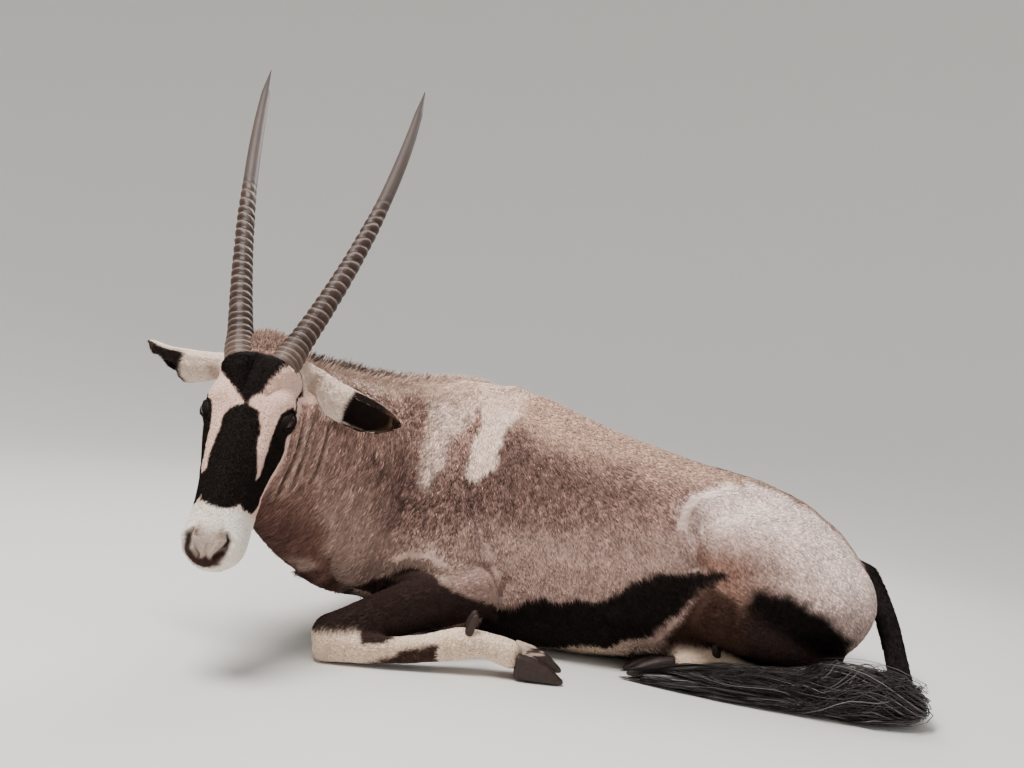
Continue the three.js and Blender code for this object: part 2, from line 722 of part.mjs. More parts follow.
for (const [word, s] of [["left", 1], ["right", -1]]) {
  piece("horn_" + word, "horn", (grow) => horn(s, grow));
  piece("ear_" + word, "white", (grow) => ear(s, grow));
}
for (const [word, side, fore, hind] of [["left", -1, 0, 0], ["right", 1, 22, -16]]) {
  const f = "foreleg_" + word + "_";
  const h = "hindleg_" + word + "_";
  piece(f + "cannon", "white", limb(FORE_CANNON, side, fore, { rings: 7, sides: 10, ends: [10, 10] }));
  piece(f + "forearm", "black", limb(FOREARM, side, fore, { rings: 6, sides: 10, ends: [10, 22] }));
  const ankle = limb(FORE_PASTERN, side, fore, { rings: 3, sides: 10, ends: [4, 3] });
  const foreCoronet = FORE_CORONET + fore;
  piece(f + "pastern", "white", (grow) => ankle(grow).trimByPlane([-1, 0, 0], GAP / 2 - grow - foreCoronet));
  piece(f + "hoof_outer", "hoof", claw(foreCoronet, 345 * side, 28, 1, 1));
  piece(f + "hoof_inner", "hoof", claw(foreCoronet, 312 * side, 44, 1, 1.15));
  piece(f + "dewclaw_outer", "hoof", dewclaw(22 + fore, 350 * side, 92, 1));
  piece(f + "dewclaw_inner", "hoof", dewclaw(22 + fore, 323 * side, 93, 1));
  piece(h + "cannon", "white", limb(HIND_CANNON, side, hind, { rings: 6, sides: 10, ends: [18, 10] }));
  piece(h + "gaskin", "black", limb(GASKIN, side, hind, { rings: 6, sides: 10, ends: [26, 16] }));
  const heel = limb(HIND_PASTERN, side, hind, { rings: 3, sides: 10, ends: [4, 3] });
  const hindCoronet = HIND_CORONET + hind;
  piece(h + "pastern", "white", (grow) => heel(grow).trimByPlane([1, 0, 0], GAP / 2 - grow + hindCoronet));
  piece(h + "hoof_outer", "hoof", claw(hindCoronet, 219 * side, 26, -1, 1));
  piece(h + "hoof_inner", "hoof", claw(hindCoronet, 186 * side, 27, -1, 1));
  piece(h + "dewclaw_outer", "hoof", dewclaw(556 + hind, 221 * side, 72, -1));
  piece(h + "dewclaw_inner", "hoof", dewclaw(556 + hind, 198 * side, 72, -1));
}
piece("tail", "black", (grow) => loft(TAIL, { rings: 11, sides: 10, up: [1, 0, 0.3], ends: [8, 8], grow }));
piece("tail_tuft", "black", tuft);

const group = new THREE.Group();
function addMesh(name, material, solid) {
  const [color, roughness] = MATERIALS[material];
  const look = new THREE.MeshStandardMaterial({ color, roughness, metalness: 0 });
  const mesh = new THREE.Mesh(geometryOf(solid), look);
  mesh.name = name;
  group.add(mesh);
}
for (const { name, material, solid } of finished) if (name) addMesh(name, material, solid);

// Plane cuts: the part of a solid where low < n.p < high, less half the gap on each side
function slab(solid, normal, low, high) {
  let part = solid;
  const n = normal.toArray();
  if (low !== null) part = part.trimByPlane(n, low + GAP / 2);
  if (high !== null) part = part.trimByPlane(n.map((v) => -v), -(high - GAP / 2));
  return part;
}
const X = new THREE.Vector3(1, 0, 0);
const Y = new THREE.Vector3(0, 1, 0);
const HEAD_CUT = onHead([0, 0.817, 0.577]).sub(POLL).normalize();
const HEAD_LEVEL = onHead([0, -92, -65]).dot(HEAD_CUT);
const NECK_CUT = new THREE.Vector3(-0.8, -0.45, 0.4).normalize();
const NECK_LEVEL = new THREE.Vector3(-90, 0, 575).dot(NECK_CUT);
const CHEST_END = 120;
const BARREL_END = 480;
const SIDE_CUT = 118;

addMesh("head", "white", largest(slab(body, HEAD_CUT, HEAD_LEVEL, null)));
const withoutHead = slab(body, HEAD_CUT, null, HEAD_LEVEL);
addMesh("neck", "coat", largest(slab(withoutHead, NECK_CUT, NECK_LEVEL, null)));
const torso = slab(withoutHead, NECK_CUT, null, NECK_LEVEL);
const chest = slab(torso, X, null, CHEST_END);
const rump = slab(torso, X, BARREL_END, null);
addMesh("chest", "coat", largest(slab(chest, Y, -SIDE_CUT, SIDE_CUT)));
addMesh("barrel", "coat", largest(slab(torso, X, CHEST_END, BARREL_END)));
addMesh("rump", "coat", largest(slab(rump, Y, -SIDE_CUT, SIDE_CUT)));
addMesh("foreleg_left_shoulder", "coat", largest(slab(chest, Y, null, -SIDE_CUT)));
addMesh("foreleg_right_shoulder", "coat", largest(slab(chest, Y, SIDE_CUT, null)));
addMesh("hindleg_left_thigh", "coat", largest(slab(rump, Y, null, -SIDE_CUT)));
addMesh("hindleg_right_thigh", "coat", largest(slab(rump, Y, SIDE_CUT, null)));

export default group;
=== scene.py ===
"""A gemsbok lying with folded legs: one skin with its coat, horns, hooves, eyes, mane and tail hair.
Metres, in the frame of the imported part: +X towards the tail, -Y to the animal's left, +Z up."""
import math

import bmesh
import bpy
import numpy as np
from mathutils import Matrix, Vector
from mathutils.bvhtree import BVHTree


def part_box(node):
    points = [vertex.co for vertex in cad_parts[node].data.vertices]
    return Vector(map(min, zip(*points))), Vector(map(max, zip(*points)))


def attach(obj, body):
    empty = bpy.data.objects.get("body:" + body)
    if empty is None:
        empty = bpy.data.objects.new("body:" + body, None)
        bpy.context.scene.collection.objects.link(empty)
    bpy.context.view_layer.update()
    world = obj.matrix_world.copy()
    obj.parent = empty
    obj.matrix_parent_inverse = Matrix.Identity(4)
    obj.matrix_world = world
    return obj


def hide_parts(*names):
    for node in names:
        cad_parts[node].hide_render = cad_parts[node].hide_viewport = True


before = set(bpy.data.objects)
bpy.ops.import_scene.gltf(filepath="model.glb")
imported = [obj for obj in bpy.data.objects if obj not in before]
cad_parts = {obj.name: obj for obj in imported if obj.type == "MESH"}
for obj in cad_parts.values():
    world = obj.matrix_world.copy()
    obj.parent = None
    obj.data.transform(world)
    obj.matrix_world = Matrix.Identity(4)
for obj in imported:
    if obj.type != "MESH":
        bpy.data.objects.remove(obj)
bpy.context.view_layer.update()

MM = 0.001
PAINT_LAYER = "Col"  # the colours painted on a mesh
PATCH_MAP = "OFBake"  # each hair's patch on the unwrapped skin

# The head's own axes: the middle of the horn bases, the way down the face, to its left and out of it
POLL = np.array([-0.414, -0.456, 0.542])
FACE_DOWN = np.array([-0.05, -0.417, -0.908])
FACE_DOWN /= np.linalg.norm(FACE_DOWN)
FACE_OUT = np.cross(FACE_DOWN, [1.0, -0.065, 0.014])
FACE_OUT /= np.linalg.norm(FACE_OUT)
HEAD_AXES = np.array([np.cross(FACE_OUT, FACE_DOWN), FACE_OUT, FACE_DOWN])
HEAD_CORE = 50  # how deep the head's middle line lies below the face, in millimetres

EARS = ["ear_left", "ear_right"]
CLAWS = [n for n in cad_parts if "hoof" in n or "dewclaw" in n]
NOT_FLESH = ("horn", "ear", "eye", "tail_tuft")
FLESH = [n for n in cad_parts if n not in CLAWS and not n.startswith(NOT_FLESH)]
COATED = FLESH + EARS


def on_head(points):
    """Points given in millimetres to the head's left, out of the face and down it."""
    return POLL + np.array(points) * MM @ HEAD_AXES


def to_head(points):
    """Points as millimetres to the head's left, out of the face and down it."""
    return (points - POLL) @ HEAD_AXES.T / MM


def around_head(left, out):
    """The angle of each point round the head's middle line, from the face's middle, in degrees."""
    return np.degrees(np.arctan2(np.abs(left), out + HEAD_CORE))


# Numbers along steps, lines and outlines


def ease(value, low, high):
    """Climbs smoothly from 0 at low to 1 at high."""
    t = np.clip((value - low) / (high - low), 0, 1)
    return t * t * (3 - 2 * t)


def ease_off(value, low, high):
    """Falls smoothly from 1 at low to 0 at high."""
    return 1 - ease(value, low, high)


def hump(distance, width):
    """A smooth bump, 1 in the middle and close to 0 past its width."""
    return np.exp(-((distance / width) ** 2))


def unit(vectors):
    return vectors / np.maximum(np.linalg.norm(vectors, axis=-1, keepdims=True), 1e-9)


def shares_along(path):
    """How far along a line of points each of them is, 0 to 1."""
    steps = np.linalg.norm(np.diff(path, axis=0), axis=1)
    return np.concatenate([[0], np.cumsum(steps)]) / steps.sum()


def read_along(share, path, rows):
    """The rows that go with a path's points, read at each share of its length."""
    done = shares_along(path)
    return np.stack([np.interp(share, done, column) for column in rows.T], axis=-1)


def from_segment(points, a, b):
    """The distance of each point from the line between a and b, and the share of it that lies before."""
    t = np.clip(((points - a) @ (b - a)) / ((b - a) @ (b - a)), 0, 1)
    return np.linalg.norm(points - (a + t[:, None] * (b - a)), axis=1), t


def path_distance(points, path):
    """The distance of each point from a line of points, and how far along that line it lies, 0 to 1."""
    path = np.array(path, float)
    best = np.full(len(points), np.inf)
    share = np.zeros(len(points))
    done = shares_along(path)
    for i in range(len(path) - 1):
        away, t = from_segment(points, path[i], path[i + 1])
        near = away < best
        best = np.where(near, away, best)
        share = np.where(near, done[i] + t * (done[i + 1] - done[i]), share)
    return best, share


def outline_depth(points, outline):
    """How deep each flat point lies inside a closed outline; below zero outside."""
    outline = np.array(outline, float)
    best = np.full(len(points), np.inf)
    inside = np.zeros(len(points), bool)
    for a, b in zip(outline, np.roll(outline, -1, axis=0)):
        best = np.minimum(best, from_segment(points, a, b)[0])
        crosses = (a[1] > points[:, 1]) != (b[1] > points[:, 1])
        climb = (b[1] - a[1]) or 1.0
        inside ^= crosses & (points[:, 0] < (b[0] - a[0]) * (points[:, 1] - a[1]) / climb + a[0])
    return np.where(inside, best, -best)


NOISE_PRIMES = (73856093, 19349663, 83492791, 2654435761, 1274126177)


def lattice_noise(points, size, seed):
    """Smooth noise between -1 and 1 from a seeded lattice, whose bumps are about size across."""
    q = points / size
    cell = np.floor(q).astype(np.int64)
    f = q - cell
    f = f * f * (3 - 2 * f)
    total = np.zeros(len(points))
    px, py, pz, p_seed, p_mix = NOISE_PRIMES
    for corner in range(8):
        step = np.array([corner & 1, (corner >> 1) & 1, (corner >> 2) & 1])
        c = cell + step
        h = (c[:, 0] * px) ^ (c[:, 1] * py) ^ (c[:, 2] * pz) ^ (seed * p_seed)
        h = (h ^ (h >> 13)) * p_mix
        value = ((h ^ (h >> 16)) & 0xFFFF) / 32767.5 - 1
        total += value * np.prod(np.where(step, f, 1 - f), axis=1)
    return total


# Meshes


def new_object(name, vertices, faces):
    """faces is one array of rows of three corners."""
    mesh = bpy.data.meshes.new(name)
    vertices = np.asarray(vertices, np.float32)
    faces = np.asarray(faces, np.int32)
    mesh.vertices.add(len(vertices))
    mesh.vertices.foreach_set("co", vertices.ravel())
    mesh.loops.add(faces.size)
    mesh.loops.foreach_set("vertex_index", faces.ravel())
    mesh.polygons.add(len(faces))
    mesh.polygons.foreach_set("loop_start", np.arange(0, faces.size, faces.shape[1], dtype=np.int32))
    mesh.update(calc_edges=True)
    mesh.validate()
    thing = bpy.data.objects.new(name, mesh)
    bpy.context.scene.collection.objects.link(thing)
    return thing


def tube_faces(rings, sides):
    """Triangles of a tube of rings, whose ends close on the first and second point after the last ring."""
    grid = np.arange(rings * sides).reshape(rings, sides)
    turned = np.roll(grid, -1, axis=1)
    walls = np.stack([grid[:-1], turned[:-1], turned[1:], grid[1:]], axis=2).reshape(-1, 4)
    start = np.stack([turned[0], grid[0], np.full(sides, rings * sides)], axis=1)
    end = np.stack([grid[-1], turned[-1], np.full(sides, rings * sides + 1)], axis=1)
    return np.concatenate([walls[:, [0, 1, 2]], walls[:, [0, 2, 3]], start, end])


def smooth(thing):
    for face in thing.data.polygons:
        face.use_smooth = True


def read_all(items, field, width, kind=np.float32):
    """One field of all items of a mesh, as rows of so many numbers."""
    values = np.zeros(len(items) * width, kind)
    items.foreach_get(field, values)
    return values.reshape(-1, width)


def points_of(mesh):
    return read_all(mesh.vertices, "co", 3).astype(float)


def normals_of(mesh):
    return read_all(mesh.vertices, "normal", 3).astype(float)


def set_points(mesh, co):
    """Moves the mesh's points, and gives their new places and normals."""
    mesh.vertices.foreach_set("co", co.astype(np.float32).ravel())
    mesh.update()
    return points_of(mesh), normals_of(mesh)


def set_colours(thing, colours):
    layer = thing.data.color_attributes.new(PAINT_LAYER, "FLOAT_COLOR", "POINT")
    opaque = np.ones((len(colours), 1))
    layer.data.foreach_set("color", np.concatenate([colours, opaque], axis=1).astype(np.float32).ravel())


def relax(mesh, co, weight, rounds):
    """Moves each point towards the mean of its neighbours, by its weight, so many rounds."""
    edges = read_all(mesh.edges, "vertices", 2, np.int32)
    source = np.concatenate([edges[:, 0], edges[:, 1]])
    other = np.concatenate([edges[:, 1], edges[:, 0]])
    other = other[np.argsort(source, kind="stable")]
    counts = np.bincount(source, minlength=len(co))
    joined = counts > 0
    starts = np.concatenate([[0], np.cumsum(counts[joined])[:-1]])
    share = (weight[joined] / counts[joined])[:, None]
    keep = 1 - weight[joined][:, None]
    co = co.copy()
    for _ in range(rounds):
        co[joined] = co[joined] * keep + np.add.reduceat(co[other], starts, axis=0) * share
    return co


def blurred(mesh, values, rounds):
    """One number for each point, evened out over its neighbours."""
    return relax(mesh, values[:, None].astype(float), np.ones(len(values)), rounds)[:, 0]


def joined_copy(names, swell):
    """One mesh of several CAD nodes, each pushed out by swell so that neighbours overlap."""
    vertices, faces, start = [], [], 0
    for name in names:
        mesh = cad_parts[name].data
        bm = bmesh.new()
        bm.from_mesh(mesh)
        bmesh.ops.remove_doubles(bm, verts=bm.verts, dist=1e-5)
        bmesh.ops.recalc_face_normals(bm, faces=bm.faces)
        bm.normal_update()
        bmesh.ops.triangulate(bm, faces=bm.faces)
        bm.verts.index_update()
        vertices += [v.co + v.normal * swell for v in bm.verts]
        faces += [[v.index + start for v in f.verts] for f in bm.faces]
        start = len(vertices)
        bm.free()
    return new_object("joined", [tuple(v) for v in vertices], faces)


def apply_modifiers(thing):
    bpy.context.view_layer.update()
    made = bpy.data.meshes.new_from_object(thing.evaluated_get(bpy.context.evaluated_depsgraph_get()))
    thing.modifiers.clear()
    thing.data = made


def remeshed(thing, size):
    """The thing's mesh made again from small even faces, as one closed surface."""
    remesh = thing.modifiers.new("even", "REMESH")
    remesh.mode = "VOXEL"
    remesh.voxel_size = size
    remesh.adaptivity = 0
    apply_modifiers(thing)
    keep_largest(thing.data)
    return thing


def keep_largest(mesh):
    """Drops all but the largest closed surface."""
    edges = read_all(mesh.edges, "vertices", 2, np.int32)
    label = np.arange(len(mesh.vertices))
    settled = False
    while not settled:
        low = np.minimum(label[edges[:, 0]], label[edges[:, 1]])
        grown = label.copy()
        np.minimum.at(grown, edges[:, 0], low)
        np.minimum.at(grown, edges[:, 1], low)
        grown = grown[grown]
        settled = (grown == label).all()
        label = grown
    values, counts = np.unique(label, return_counts=True)
    drop = label != values[counts.argmax()]
    if not drop.any():
        return
    bm = bmesh.new()
    bm.from_mesh(mesh)
    bm.verts.ensure_lookup_table()
    bmesh.ops.delete(bm, geom=[bm.verts[i] for i in np.nonzero(drop)[0]], context="VERTS")
    bm.to_mesh(mesh)
    bm.free()


def refine(mesh, chosen):
    """Halves the edges between the chosen points."""
    bm = bmesh.new()
    bm.from_mesh(mesh)
    bm.verts.ensure_lookup_table()
    edges = [e for e in bm.edges if chosen[e.verts[0].index] and chosen[e.verts[1].index]]
    bmesh.ops.subdivide_edges(bm, edges=edges, cuts=1, use_grid_fill=True)
    bmesh.ops.triangulate(bm, faces=[f for f in bm.faces if len(f.verts) > 4])
    bm.to_mesh(mesh)
    bm.free()


def add_piece(thing, material, slot, *nodes):
    """Gives a piece its material and the body that it rides on, and hides the nodes that it stands for. The
    slot is not used.
    """
    thing.data.materials.clear()
    thing.data.materials.append(material)
    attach(thing, "root")
    if nodes:
        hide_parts(*nodes)


# Materials

PAINT_MEAN = (0.5, 0.4, 0.35)  # an unpainted coat's colour
RICHNESS = 1.08  # makes up for the colour that the picture's tone curve takes away


def linear(r, g, b):
    """A colour as it is read on a screen, 0 to 255, as linear light."""
    c = np.array([r, g, b]) / 255
    c = np.where(c <= 0.04045, c / 12.92, ((c + 0.055) / 1.055) ** 2.4)
    return np.clip(c.mean() + (c - c.mean()) * RICHNESS, 0.002, 0.95)


def plain_material(name, colour, roughness):
    material = bpy.data.materials.new(name)
    material.use_nodes = True
    shader = material.node_tree.nodes["Principled BSDF"]
    shader.inputs["Base Color"].default_value = (*colour, 1)
    shader.inputs["Roughness"].default_value = roughness
    return material


def painted_material(name, roughness, gloss):
    """A surface that shows the colours painted on its mesh."""
    material = plain_material(name, PAINT_MEAN, roughness)
    nodes = material.node_tree.nodes
    shader = nodes["Principled BSDF"]
    shader.inputs["Specular IOR Level"].default_value = gloss
    colour = nodes.new("ShaderNodeVertexColor")
    colour.layer_name = PAINT_LAYER
    material.node_tree.links.new(colour.outputs["Color"], shader.inputs["Base Color"])
    return material


def coat_material():
    return painted_material("coat", 0.8, 0.12)


def grained_material(name, roughness, scale, depth):
    """A painted surface with a fine grain, such as horn."""
    material = painted_material(name, roughness, 0.35)
    nodes = material.node_tree.nodes
    links = material.node_tree.links
    grain = nodes.new("ShaderNodeTexNoise")
    grain.inputs["Scale"].default_value = scale
    grain.inputs["Detail"].default_value = 6
    bump = nodes.new("ShaderNodeBump")
    bump.inputs["Strength"].default_value = depth
    bump.inputs["Distance"].default_value = MM
    links.new(grain.outputs["Fac"], bump.inputs["Height"])
    links.new(bump.outputs["Normal"], nodes["Principled BSDF"].inputs["Normal"])
    return material


# Camera, light and floor

CAMERA_PLACE = (-0.140, -2.055, 0.510)
CAMERA_TURN = (5.9, 1.54, 8.22)  # degrees: to the right of +Y, up, and of roll
CAMERA_LENS = 31.75
CAMERA_SENSOR = 36
CAMERA_REACH = 100
LIGHT_AIM = (0.1, -0.1, 0.35)
LIGHTS = {
    # place, size, power and colour
    "key": ((-1.3, -1.5, 3.6), 1.5, 215, (1.0, 0.97, 0.92)),
    "fill": ((2.8, -2.6, 1.8), 2.6, 16, (0.95, 0.97, 1.0)),
    "rim": ((0.6, 2.2, 3.0), 2.0, 75, (1.0, 0.98, 0.95)),
}
SKY = (0.93, 0.96, 1.0, 1)
SKY_STRENGTH = 0.85
FLOOR_COLOUR = (0.74, 0.72, 0.69)
FLOOR_DROP = 0.0005
DISH_FLAT = 3.2
DISH_BEND = 5.0
DISH_WALL = 10.0
DISH_SIDES = 96


def make_camera():
    yaw, pitch, roll = (math.radians(a) for a in CAMERA_TURN)
    ahead = Vector((math.sin(yaw) * math.cos(pitch), math.cos(yaw) * math.cos(pitch), math.sin(pitch)))
    level = Vector((math.cos(yaw), -math.sin(yaw), 0))
    upright = level.cross(ahead)
    right = level * math.cos(roll) + upright * math.sin(roll)
    up = upright * math.cos(roll) - level * math.sin(roll)
    data = bpy.data.cameras.new("camera")
    data.sensor_width = CAMERA_SENSOR
    data.lens = CAMERA_LENS
    data.clip_end = CAMERA_REACH
    camera = bpy.data.objects.new("camera", data)
    turn = Matrix((right, up, -ahead)).transposed().to_4x4()
    camera.matrix_world = Matrix.Translation(CAMERA_PLACE) @ turn
    bpy.context.scene.collection.objects.link(camera)
    bpy.context.scene.camera = camera


def make_light(name, place, size, power, colour):
    data = bpy.data.lights.new(name, "AREA")
    data.shape = "DISK"
    data.size = size
    data.energy = power
    data.color = colour
    lamp = bpy.data.objects.new(name, data)
    lamp.location = place
    lamp.rotation_mode = "QUATERNION"
    lamp.rotation_quaternion = (Vector(LIGHT_AIM) - Vector(place)).to_track_quat("-Z", "Y")
    bpy.context.scene.collection.objects.link(lamp)


def make_floor():
    """A pale floor that bends up into a round wall, so that no edge shows behind the model."""
    bends = [math.radians(a) for a in range(6, 91, 6)]
    profile = [(DISH_FLAT / 2, 0.0), (DISH_FLAT, 0.0)]
    profile += [(DISH_FLAT + DISH_BEND * math.sin(a), DISH_BEND * (1 - math.cos(a))) for a in bends]
    profile.append((DISH_FLAT + DISH_BEND, DISH_WALL))
    turns = [2 * math.pi * k / DISH_SIDES for k in range(DISH_SIDES)]
    points = [(r * math.cos(a), r * math.sin(a), z) for r, z in profile for a in turns]
    open_dish = tube_faces(len(profile), DISH_SIDES)[:-DISH_SIDES, ::-1]
    floor = new_object("floor", points + [(0, 0, 0)], open_dish)
    floor.location.z = -FLOOR_DROP
    smooth(floor)
    floor.data.materials.append(plain_material("floor", FLOOR_COLOUR, 0.9))


def make_studio():
    world = bpy.data.worlds.new("studio")
    world.use_nodes = True
    sky = world.node_tree.nodes["Background"]
    sky.inputs["Color"].default_value = SKY
    sky.inputs["Strength"].default_value = SKY_STRENGTH
    bpy.context.scene.world = world
    for name, light in LIGHTS.items():
        make_light(name, *light)
    make_floor()


# Skin

VOXEL = 0.0068  # grain of the skin's mesh
SKIN_FLOOR = 0.0005  # the lowest that the skin reaches
MANE_LINE = np.array([
    [-0.372, -0.396, 0.530],
    [-0.352, -0.350, 0.540],
    [-0.296, -0.246, 0.538],
    [-0.214, -0.140, 0.540],
    [-0.122, -0.052, 0.548],
    [-0.050, -0.008, 0.564],
    [0.016, 0.000, 0.564],
])
MANE_REACH = 0.045
MANE_ROUND = 0.1  # how broad the crest is under its hair
SMOOTH_ROUNDS = 60
SMOOTHING = {"trunk": 0.5, "neck": 0.36, "limb": 0.08, "head": 0.045, "tail": 0.1}
INSET = {"trunk": 0.0032, "neck": 0.0034, "limb": 0.0012, "head": 0.0008, "tail": 0.002}
NODE_REACH = 0.03  # the skin is nowhere further from its node


def family(node):
    """Which part of the body a node belongs to."""
    if node in ("head", "neck", "tail"):
        return node
    if node in EARS:
        return "head"
    if node in ("chest", "barrel", "rump") or node.endswith(("shoulder", "thigh")):
        return "trunk"
    return "limb"


def box_distance(points, node):
    """How far each point is from a node's box; 0 inside it."""
    low, high = (np.array(corner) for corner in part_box(node))
    return np.linalg.norm(np.maximum(np.maximum(low - points, points - high), 0), axis=1)


def nearest_nodes(points):
    """The number in COATED of the node nearest to each point."""
    best = np.full(len(points), np.inf)
    label = np.zeros(len(points), np.int32)
    for i, name in enumerate(COATED):
        near = np.nonzero(box_distance(points, name) < np.minimum(best, NODE_REACH))[0]
        if len(near) == 0:
            continue
        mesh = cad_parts[name].data
        tree = BVHTree.FromPolygons([v.co for v in mesh.vertices], [p.vertices for p in mesh.polygons])
        away = np.array([tree.find_nearest(p)[3] for p in points[near]])
        closer = away < best[near]
        best[near[closer]] = away[closer]
        label[near[closer]] = i
    return label


def by_family(mesh, labels, values, rounds):
    """Each point's value by the family of its node, evened out over its neighbours."""
    table = np.array([values.get(family(n), 0.0) for n in COATED])
    return blurred(mesh, table[labels], rounds)


def press_mane(co):
    """Lowers the crest's locks to the line that they grow from."""
    line = MANE_LINE * (1, 1, 0)
    away, share = path_distance(co * (1, 1, 0), line)
    top = np.interp(share, shares_along(line), MANE_LINE[:, 2]) - away**2 / MANE_ROUND
    pressed = (away < MANE_REACH) & (co[:, 2] > top) & (share > 0)
    co[pressed, 2] = top[pressed]
    return co


# Forms of the head, in millimetres along its axes: the nostril's places to the left and down with its
# half-widths, and the mouth's places down the face and out of it
NOSTRIL = [(27, 318, 2.5), (32, 328, 5), (29, 339, 6.0), (20, 347, 5.0), (12, 353, 3)]
NOSTRIL_DEPTH = 8.5
NOSTRIL_RIM = 2.4
MOUTH = [(232, -66), (262, -71), (300, -73), (335, -71), (385, -68)]
MOUTH_DEPTH = 4.2
LIP_HEIGHT = 1.8
LIP_CLEFT = 2.0
HEAD_BUMPS = [
    # left, out, down, height, width
    (56, -6, 82, 4.5, 17),
    (38, -10, 30, 5.0, 22),
    (16, -4, 12, 6.0, 20),
    (66, -30, 16, 5.0, 20),
    (46, -60, 10, 4.0, 26),
    (64, -42, 52, -3.5, 20),
    (62, -84, 128, 3.5, 32),
    (50, -108, 165, 2.5, 22),
    (40, -26, 320, 3.0, 13),
    (0, 6, 40, 2.0, 30),
]
HEAD_RIDGES = [
    # points, height and width
    ([(66, -50, 128), (61, -55, 165), (53, -52, 215)], 3.0, 8),
    ([(31, 2, 140), (30, 0, 200), (28, -2, 262)], -2.0, 8),
    ([(48, -60, 190), (44, -62, 262)], -2.0, 10),
    ([(0, 10, 110), (0, 5, 200), (0, 0, 285)], 1.2, 12),
]


def head_relief(co):
    """How far each point of the head stands out or lies in, in millimetres."""
    h = to_head(co)
    h[:, 0] = np.abs(h[:, 0])
    left, out, down = h.T
    rise = np.zeros(len(co))
    for *place, height, width in HEAD_BUMPS:
        rise += height * hump(np.linalg.norm(h - place, axis=1), width)
    for path, height, width in HEAD_RIDGES:
        rise += height * hump(path_distance(h, path)[0], width)
    slit, share = path_distance(h[:, [0, 2]], [row[:2] for row in NOSTRIL])
    width = np.interp(share, np.linspace(0, 1, len(NOSTRIL)), [row[2] for row in NOSTRIL])
    on_front = ease(out, -55, -40)
    rise -= NOSTRIL_DEPTH * hump(slit, width * 0.8) * on_front
    rise += NOSTRIL_RIM * hump(slit - width * 1.9, width * 0.9) * on_front
    gap = np.abs(out - np.interp(down, *np.array(MOUTH).T))
    lips = ease(down, 228, 245) * (left < 62)
    rise -= MOUTH_DEPTH * hump(gap, 2.4) * lips
    rise += LIP_HEIGHT * hump(gap - 8, 5) * lips
    return rise - LIP_CLEFT * hump(left, 2.2) * ease(down, 335, 345) * on_front


# Where the shoulder ends in front, from below: distance along the body and height
SHOULDER_FRONT = [(-0.21, 0.09), (-0.236, 0.118), (-0.25, 0.147), (-0.26, 0.197), (-0.27, 0.245),
                  (-0.285, 0.29)]
BODY_RELIEF = [
    # points along the body and up, height and width
    ([(0.0, 0.34), (0.03, 0.262), (0.055, 0.222), (0.078, 0.186), (0.096, 0.158), (0.092, 0.13)],
     -0.012, 0.012),
    ([(-0.02, 0.32), (0.005, 0.26), (0.035, 0.21)], 0.007, 0.026),
    ([(0.05, 0.19), (0.066, 0.16)], 0.012, 0.02),
    ([(-0.13, 0.154), (-0.103, 0.171), (-0.073, 0.171), (-0.03, 0.148), (0.01, 0.13), (0.06, 0.12)],
     -0.009, 0.009),
    ([(-0.13, 0.174), (-0.1, 0.19), (-0.066, 0.19), (-0.024, 0.166), (0.01, 0.15)], 0.007, 0.011),
    (SHOULDER_FRONT, -0.008, 0.012),
    ([(-0.24, 0.25), (-0.228, 0.2), (-0.215, 0.15), (-0.195, 0.12)], 0.007, 0.022),
    ([(0.56, 0.415), (0.468, 0.386), (0.446, 0.363), (0.43, 0.316), (0.445, 0.285), (0.47, 0.24)],
     -0.010, 0.012),
    ([(0.58, 0.4), (0.487, 0.37), (0.467, 0.35), (0.455, 0.31), (0.47, 0.275)], 0.008, 0.026),
    ([(0.508, 0.2), (0.465, 0.14), (0.425, 0.075)], 0.004, 0.012),
    ([(0.52, 0.188), (0.56, 0.15), (0.6, 0.13)], -0.004, 0.014),
    ([(0.29, 0.43), (0.32, 0.3), (0.33, 0.2)], -0.0022, 0.014),
    ([(0.24, 0.44), (0.265, 0.3), (0.275, 0.19)], -0.0022, 0.014),
    ([(0.19, 0.44), (0.21, 0.3), (0.22, 0.18)], -0.002, 0.014),
    ([(0.34, 0.42), (0.375, 0.32), (0.39, 0.25)], -0.0022, 0.014),
]
# Lines of the skin's folds behind the jaw, on the side that the head is turned to
NECK_FOLDS = [
    [(-0.328, -0.432, 0.462), (-0.328, -0.446, 0.413), (-0.334, -0.447, 0.374), (-0.347, -0.445, 0.328),
     (-0.356, -0.433, 0.285)],
    [(-0.310, -0.424, 0.455), (-0.314, -0.433, 0.41), (-0.322, -0.433, 0.36), (-0.333, -0.428, 0.30)],
    [(-0.288, -0.395, 0.445), (-0.290, -0.398, 0.396), (-0.302, -0.400, 0.331)],
]
FOLD_DEPTH = 0.0034
FOLD_WIDTH = 0.0042


def body_relief(co, normals):
    """How far each point of the trunk stands out or lies in."""
    sideways = ease(np.abs(normals[:, 1]), 0.15, 0.5) * ease(np.abs(co[:, 1]), 0.08, 0.12)
    rise = np.zeros(len(co))
    for path, height, width in BODY_RELIEF:
        rise += height * hump(path_distance(co[:, [0, 2]], path)[0], width)
    rise *= sideways
    return rise + 0.0018 * lattice_noise(co, 0.06, 51) + 0.0008 * lattice_noise(co, 0.022, 52)


def near_folds(co, reach):
    return np.min([path_distance(co, path)[0] for path in NECK_FOLDS], axis=0) < reach


def fold_relief(co):
    rise = np.zeros(len(co))
    for path in NECK_FOLDS:
        away, share = path_distance(co, path)
        ends = ease(share, 0.0, 0.12) * ease_off(share, 0.85, 1.0)
        rise -= FOLD_DEPTH * (hump(away, FOLD_WIDTH) - 0.5 * hump(away - 2 * FOLD_WIDTH, FOLD_WIDTH)) * ends
    return rise


EYE_RADIUS = 0.0175
